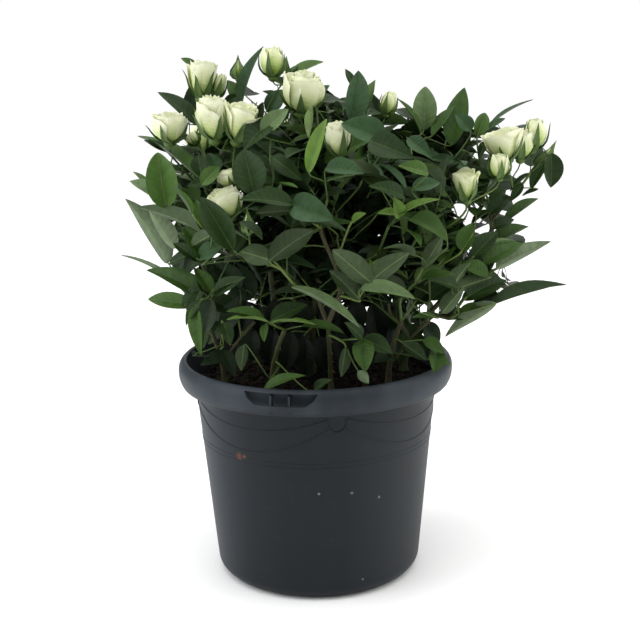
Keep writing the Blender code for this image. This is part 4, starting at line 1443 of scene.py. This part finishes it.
taken = [goal[0] for goal in goals]
for name, centre, half in zip(MASS_NAMES, mass_centres, mass_halves):
    low_down = "_low_" in name
    spacing = LOW_SPACING if low_down else FILL_SPACING
    for _ in range(LOW_TRIES if low_down else FILL_TRIES):
        spread = np.array([growth_rng.gauss(0, 1) for _ in range(3)])
        spread *= draw(0.30, 0.80) / norm(spread)
        place = centre + spread * half
        if place[2] < LOWEST_SPRAY or min(norm(place - other) for other in taken) < spacing:
            continue
        if not allowed(place[None]):
            continue
        taken.append(place)
        way = unit(place - OUTWARDS_FROM) + UP * 0.55
        goals.append((place, unit(way), FILL_LOAD, "fill"))
goals.sort(key=lambda goal: norm(goal[0] - ROOT_POINT))
shoots = [(*grow_to(place, way, load, LEAF_STIFF if kind == "leaf" else SHOOT_STIFF), kind)
          for place, way, load, kind in goals]


# ---- Sprays of leaves
# Compound leaves of three, five or seven leaflets on a thin stalk, set round each twig in
# turn, the end leaflet the largest. None grows outside the crown, into an opening or over
# a bloom.
JOINT_SPACING = 0.016
MIX = (("deep",) * 10 + ("green",) * 9 + ("mid",) * 3 + ("blue",) * 6 + ("olive",) * 2
       + ("lime",))
TRIES = 6
STALK_STEPS = 8
STALK_RADII = (0.00062, 0.00042)
BLADE_CHECKS = [0, 16, 21, 24, 29, 32, 37, 44, 56]


def spray_once(foot, way, out, size, count):
    """A compound leaf: its stalk, then its leaflets, left out where they may not grow."""
    pairs = count // 2
    reach = size * (0.30 + 0.24 * pairs)
    facing = UP * 0.75 + out * draw(0.1, 0.9)
    facing += shaken(0.45)
    line = [foot]
    heading = unit(way * draw(0.2, 0.8) + out * 0.75 + UP * draw(-0.2, 0.3))
    for _ in range(STALK_STEPS):
        heading = unit(heading + (out * 0.10 - UP * 0.035))
        line.append(line[-1] + heading * reach / STALK_STEPS)
    line = np.array(line)
    plans = [(line[-1], heading, 1.0)]
    side = unit(np.cross(heading, facing))
    for pair in range(pairs):
        at = line[STALK_STEPS - 1 - round((pair + 0.35) * STALK_STEPS / (pairs + 0.9))]
        for sign in (-1, 1):
            plans.append((at, heading * 0.62 + side * sign * 0.9, 0.86 - 0.20 * pair))
    blades = []
    for base, aim, share in plans:
        long = size * share * draw(0.88, 1.10)
        aim = unit(aim)
        jitter = shaken(0.14)
        skin, midrib = leaflet(base + aim * long * 0.05, aim + jitter, facing + jitter * 2, long,
                               long * draw(0.42, 0.52), draw(12, 30), draw(0, 16), draw(12, 42),
                               growth_rng)
        if allowed(skin[BLADE_CHECKS]):
            blades.append((skin, midrib, base))
        elif not blades:
            return None
    return line, blades


def spray(foot, way, out, size, shade, count):
    """Adds the best of a few tries at a compound leaf, and says whether there is one."""
    best = None
    for attempt in range(TRIES):
        spin = growth_rng.gauss(0, 0.35 * attempt)
        turned_out = np.array(Matrix.Rotation(spin, 3, Vector(way)) @ Vector(out))
        grown = spray_once(foot, way, turned_out, size * (1 - 0.07 * attempt), count)
        if grown and (best is None or len(grown[1]) > len(best[1])):
            best = grown
        if best and len(best[1]) == count:
            break
    if best is None:
        return False
    line, blades = best
    stalk_heap.add(*tube(line, np.linspace(*STALK_RADII, len(line)), 5),
                   1 if shade == "lime" else 0)
    for skin, midrib, base in blades:
        add_blade(skin, shade, midrib[3])
        stalk_heap.add(*tube([base, midrib[0], midrib[1]], [0.0004, 0.00042, 0.0003], 4), 0)
    return True


carries = np.zeros(len(wood_place), bool)
for start, indices, kind in shoots:
    turn = draw(0, 6.28)
    walked = draw(0.2, 0.8) * JOINT_SPACING
    shade = growth_rng.choice(MIX)
    for i in indices[:-1]:
        walked += SHOOT_STEP
        if walked < JOINT_SPACING or wood_place[i][2] < LOWEST_SPRAY:
            continue
        walked = 0.0
        turn += GOLDEN_TURN
        out = axes_along(wood_way[i]) @ np.array([math.cos(turn), math.sin(turn), 0])
        size = draw(0.033, 0.049) * (1.12 if wood_place[i][1] > 0.02 else 1)
        carries[i] = spray(wood_place[i], wood_way[i], out, size, shade,
                           growth_rng.choice((3, 5, 5, 7)))
    if kind == "fill":
        end = indices[-1]
        out = unit(wood_way[end] * (1, 1, 0) + 1e-6)
        carries[end] = spray(wood_place[end], wood_way[end], out, draw(0.036, 0.054), shade,
                             growth_rng.choice((3, 5, 5)))
# Single leaves on long stalks close what is left open, other than the sky. Those behind the
# front take the inner finish, painted shade; the front ones are deep green.
SWEEPS = 3
CLOSING_DEPTHS = (62, 42, 22, 2, -22, -46)
CLOSING_LOWEST = 0.184
CLOSING_MARGIN = 0.040
LONGEST_STALK = 0.050
LOWEST_WOOD = 0.178
for _ in range(SWEEPS):
    squares = (np.argwhere(uncovered)[:, ::-1] + 0.5) * SQUARE
    keep = inside_outline(squares[:, 0], squares[:, 1])
    for discs, margin in ((sky, 3.5), (front_guards, -2)):
        keep &= (gaps_to(discs, squares[:, 0], squares[:, 1]) > discs[:, 2] + margin).all(axis=1)
    for middle in squares[keep]:
        if not uncovered[int(middle[1] / SQUARE), int(middle[0] / SQUARE)]:
            continue
        for depth in CLOSING_DEPTHS:
            place = np.array(spot(*middle, depth + draw(-9, 9)))
            far = norm(place - wood_place, axis=1) + 9 * (wood_place[:, 2] < LOWEST_WOOD)
            nearest = int(np.argmin(far))
            if place[2] < CLOSING_LOWEST or far[nearest] > LONGEST_STALK:
                continue
            foot = wood_place[nearest]
            aim = unit((place - foot) / far[nearest] * 0.5
                       + [draw(-0.8, 0.8), draw(-0.5, 0.5), draw(-0.3, 0.4)])
            long = draw(0.024, 0.036)
            facing = np.array([draw(-0.4, 0.4), -0.7, draw(0.2, 1.0)])
            base = place - aim * long * 0.5
            skin, midrib = leaflet(base, aim, facing, long, long * 0.52, 14, draw(0, 12),
                                   draw(5, 25), growth_rng)
            if allowed(skin[BLADE_CHECKS], CLOSING_MARGIN):
                add_blade(skin, "inner" if place[1] > -0.06 else "deep", midrib[3])
                bend = (foot + base) / 2 + UP * 0.15 * norm(base - foot)
                stalk_heap.add(*tube([foot, bend, base, midrib[1]],
                                     [0.0005, 0.0004, 0.0004, 0.0003], 4), 0)
                carries[nearest] = True
                break


# ---- Twigs
# Smooth green shoots, browner where they are thick. A shoot ends at its last leaf.
BROWN_LOAD = 6


def shoot_radius(load):
    return min(THICKEST_SHOOT, SHOOT_RADIUS * max(load, 0.7) ** (1 / SHOOT_POWER))


twig_heap = Heap()
for start, indices, kind in reversed(shoots):
    if kind == "fill":
        if not carries[indices].any():
            continue
        indices = indices[:np.flatnonzero(carries[indices])[-1] + 1]
    carries[start] = True
    if len(indices) < 2:
        continue
    radii = [shoot_radius(wood_load[i]) for i in (indices[0], *indices)]
    thick = wood_load[indices[len(indices) // 2]] > BROWN_LOAD
    tone = 2 if thick else growth_rng.choice((0, 0, 1))
    twig_heap.add(*tube(wood_place[[start, *indices]], radii, 6), tone)
    if kind != "leaf":
        for i in range(2, len(indices) - 1, 4):
            if growth_rng.random() < 0.5:
                middle, way = Vector(wood_place[indices[i]]), Vector(wood_way[indices[i]])
                twig_heap.add(*prickle(middle, way, radii[i + 1] * 0.9, growth_rng,
                                       0.0010, 0.0018), 3)

twig_paints = [Paint("shoot_green", (0.055, 0.095, 0.022), 0.5, 0.25),
               Paint("shoot_lime", (0.100, 0.150, 0.035), 0.5, 0.25),
               Paint("shoot_brown", (0.050, 0.048, 0.022), 0.6, 0.2),
               Paint("shoot_prickle", (0.120, 0.055, 0.030), 0.5, 0.25)]
twig_heap.piece("twigs", twig_paints, "cane_bark")
stalk_paints = [Paint("stalk_green", (0.055, 0.095, 0.025), 0.5, 0.2),
                Paint("stalk_lime", (0.110, 0.170, 0.040), 0.5, 0.2)]
stalk_heap.piece("leaf_stalks", stalk_paints, "foliage")
near_heap.piece("leaves_near", [veined(*finish) for finish in LEAF_COLOURS.items()], "foliage")
for side, heap in leaf_heap.items():
    heap.piece(f"leaves_{side}", leaf_paints, "foliage", *(FOLIAGE if side == "middle" else ()))
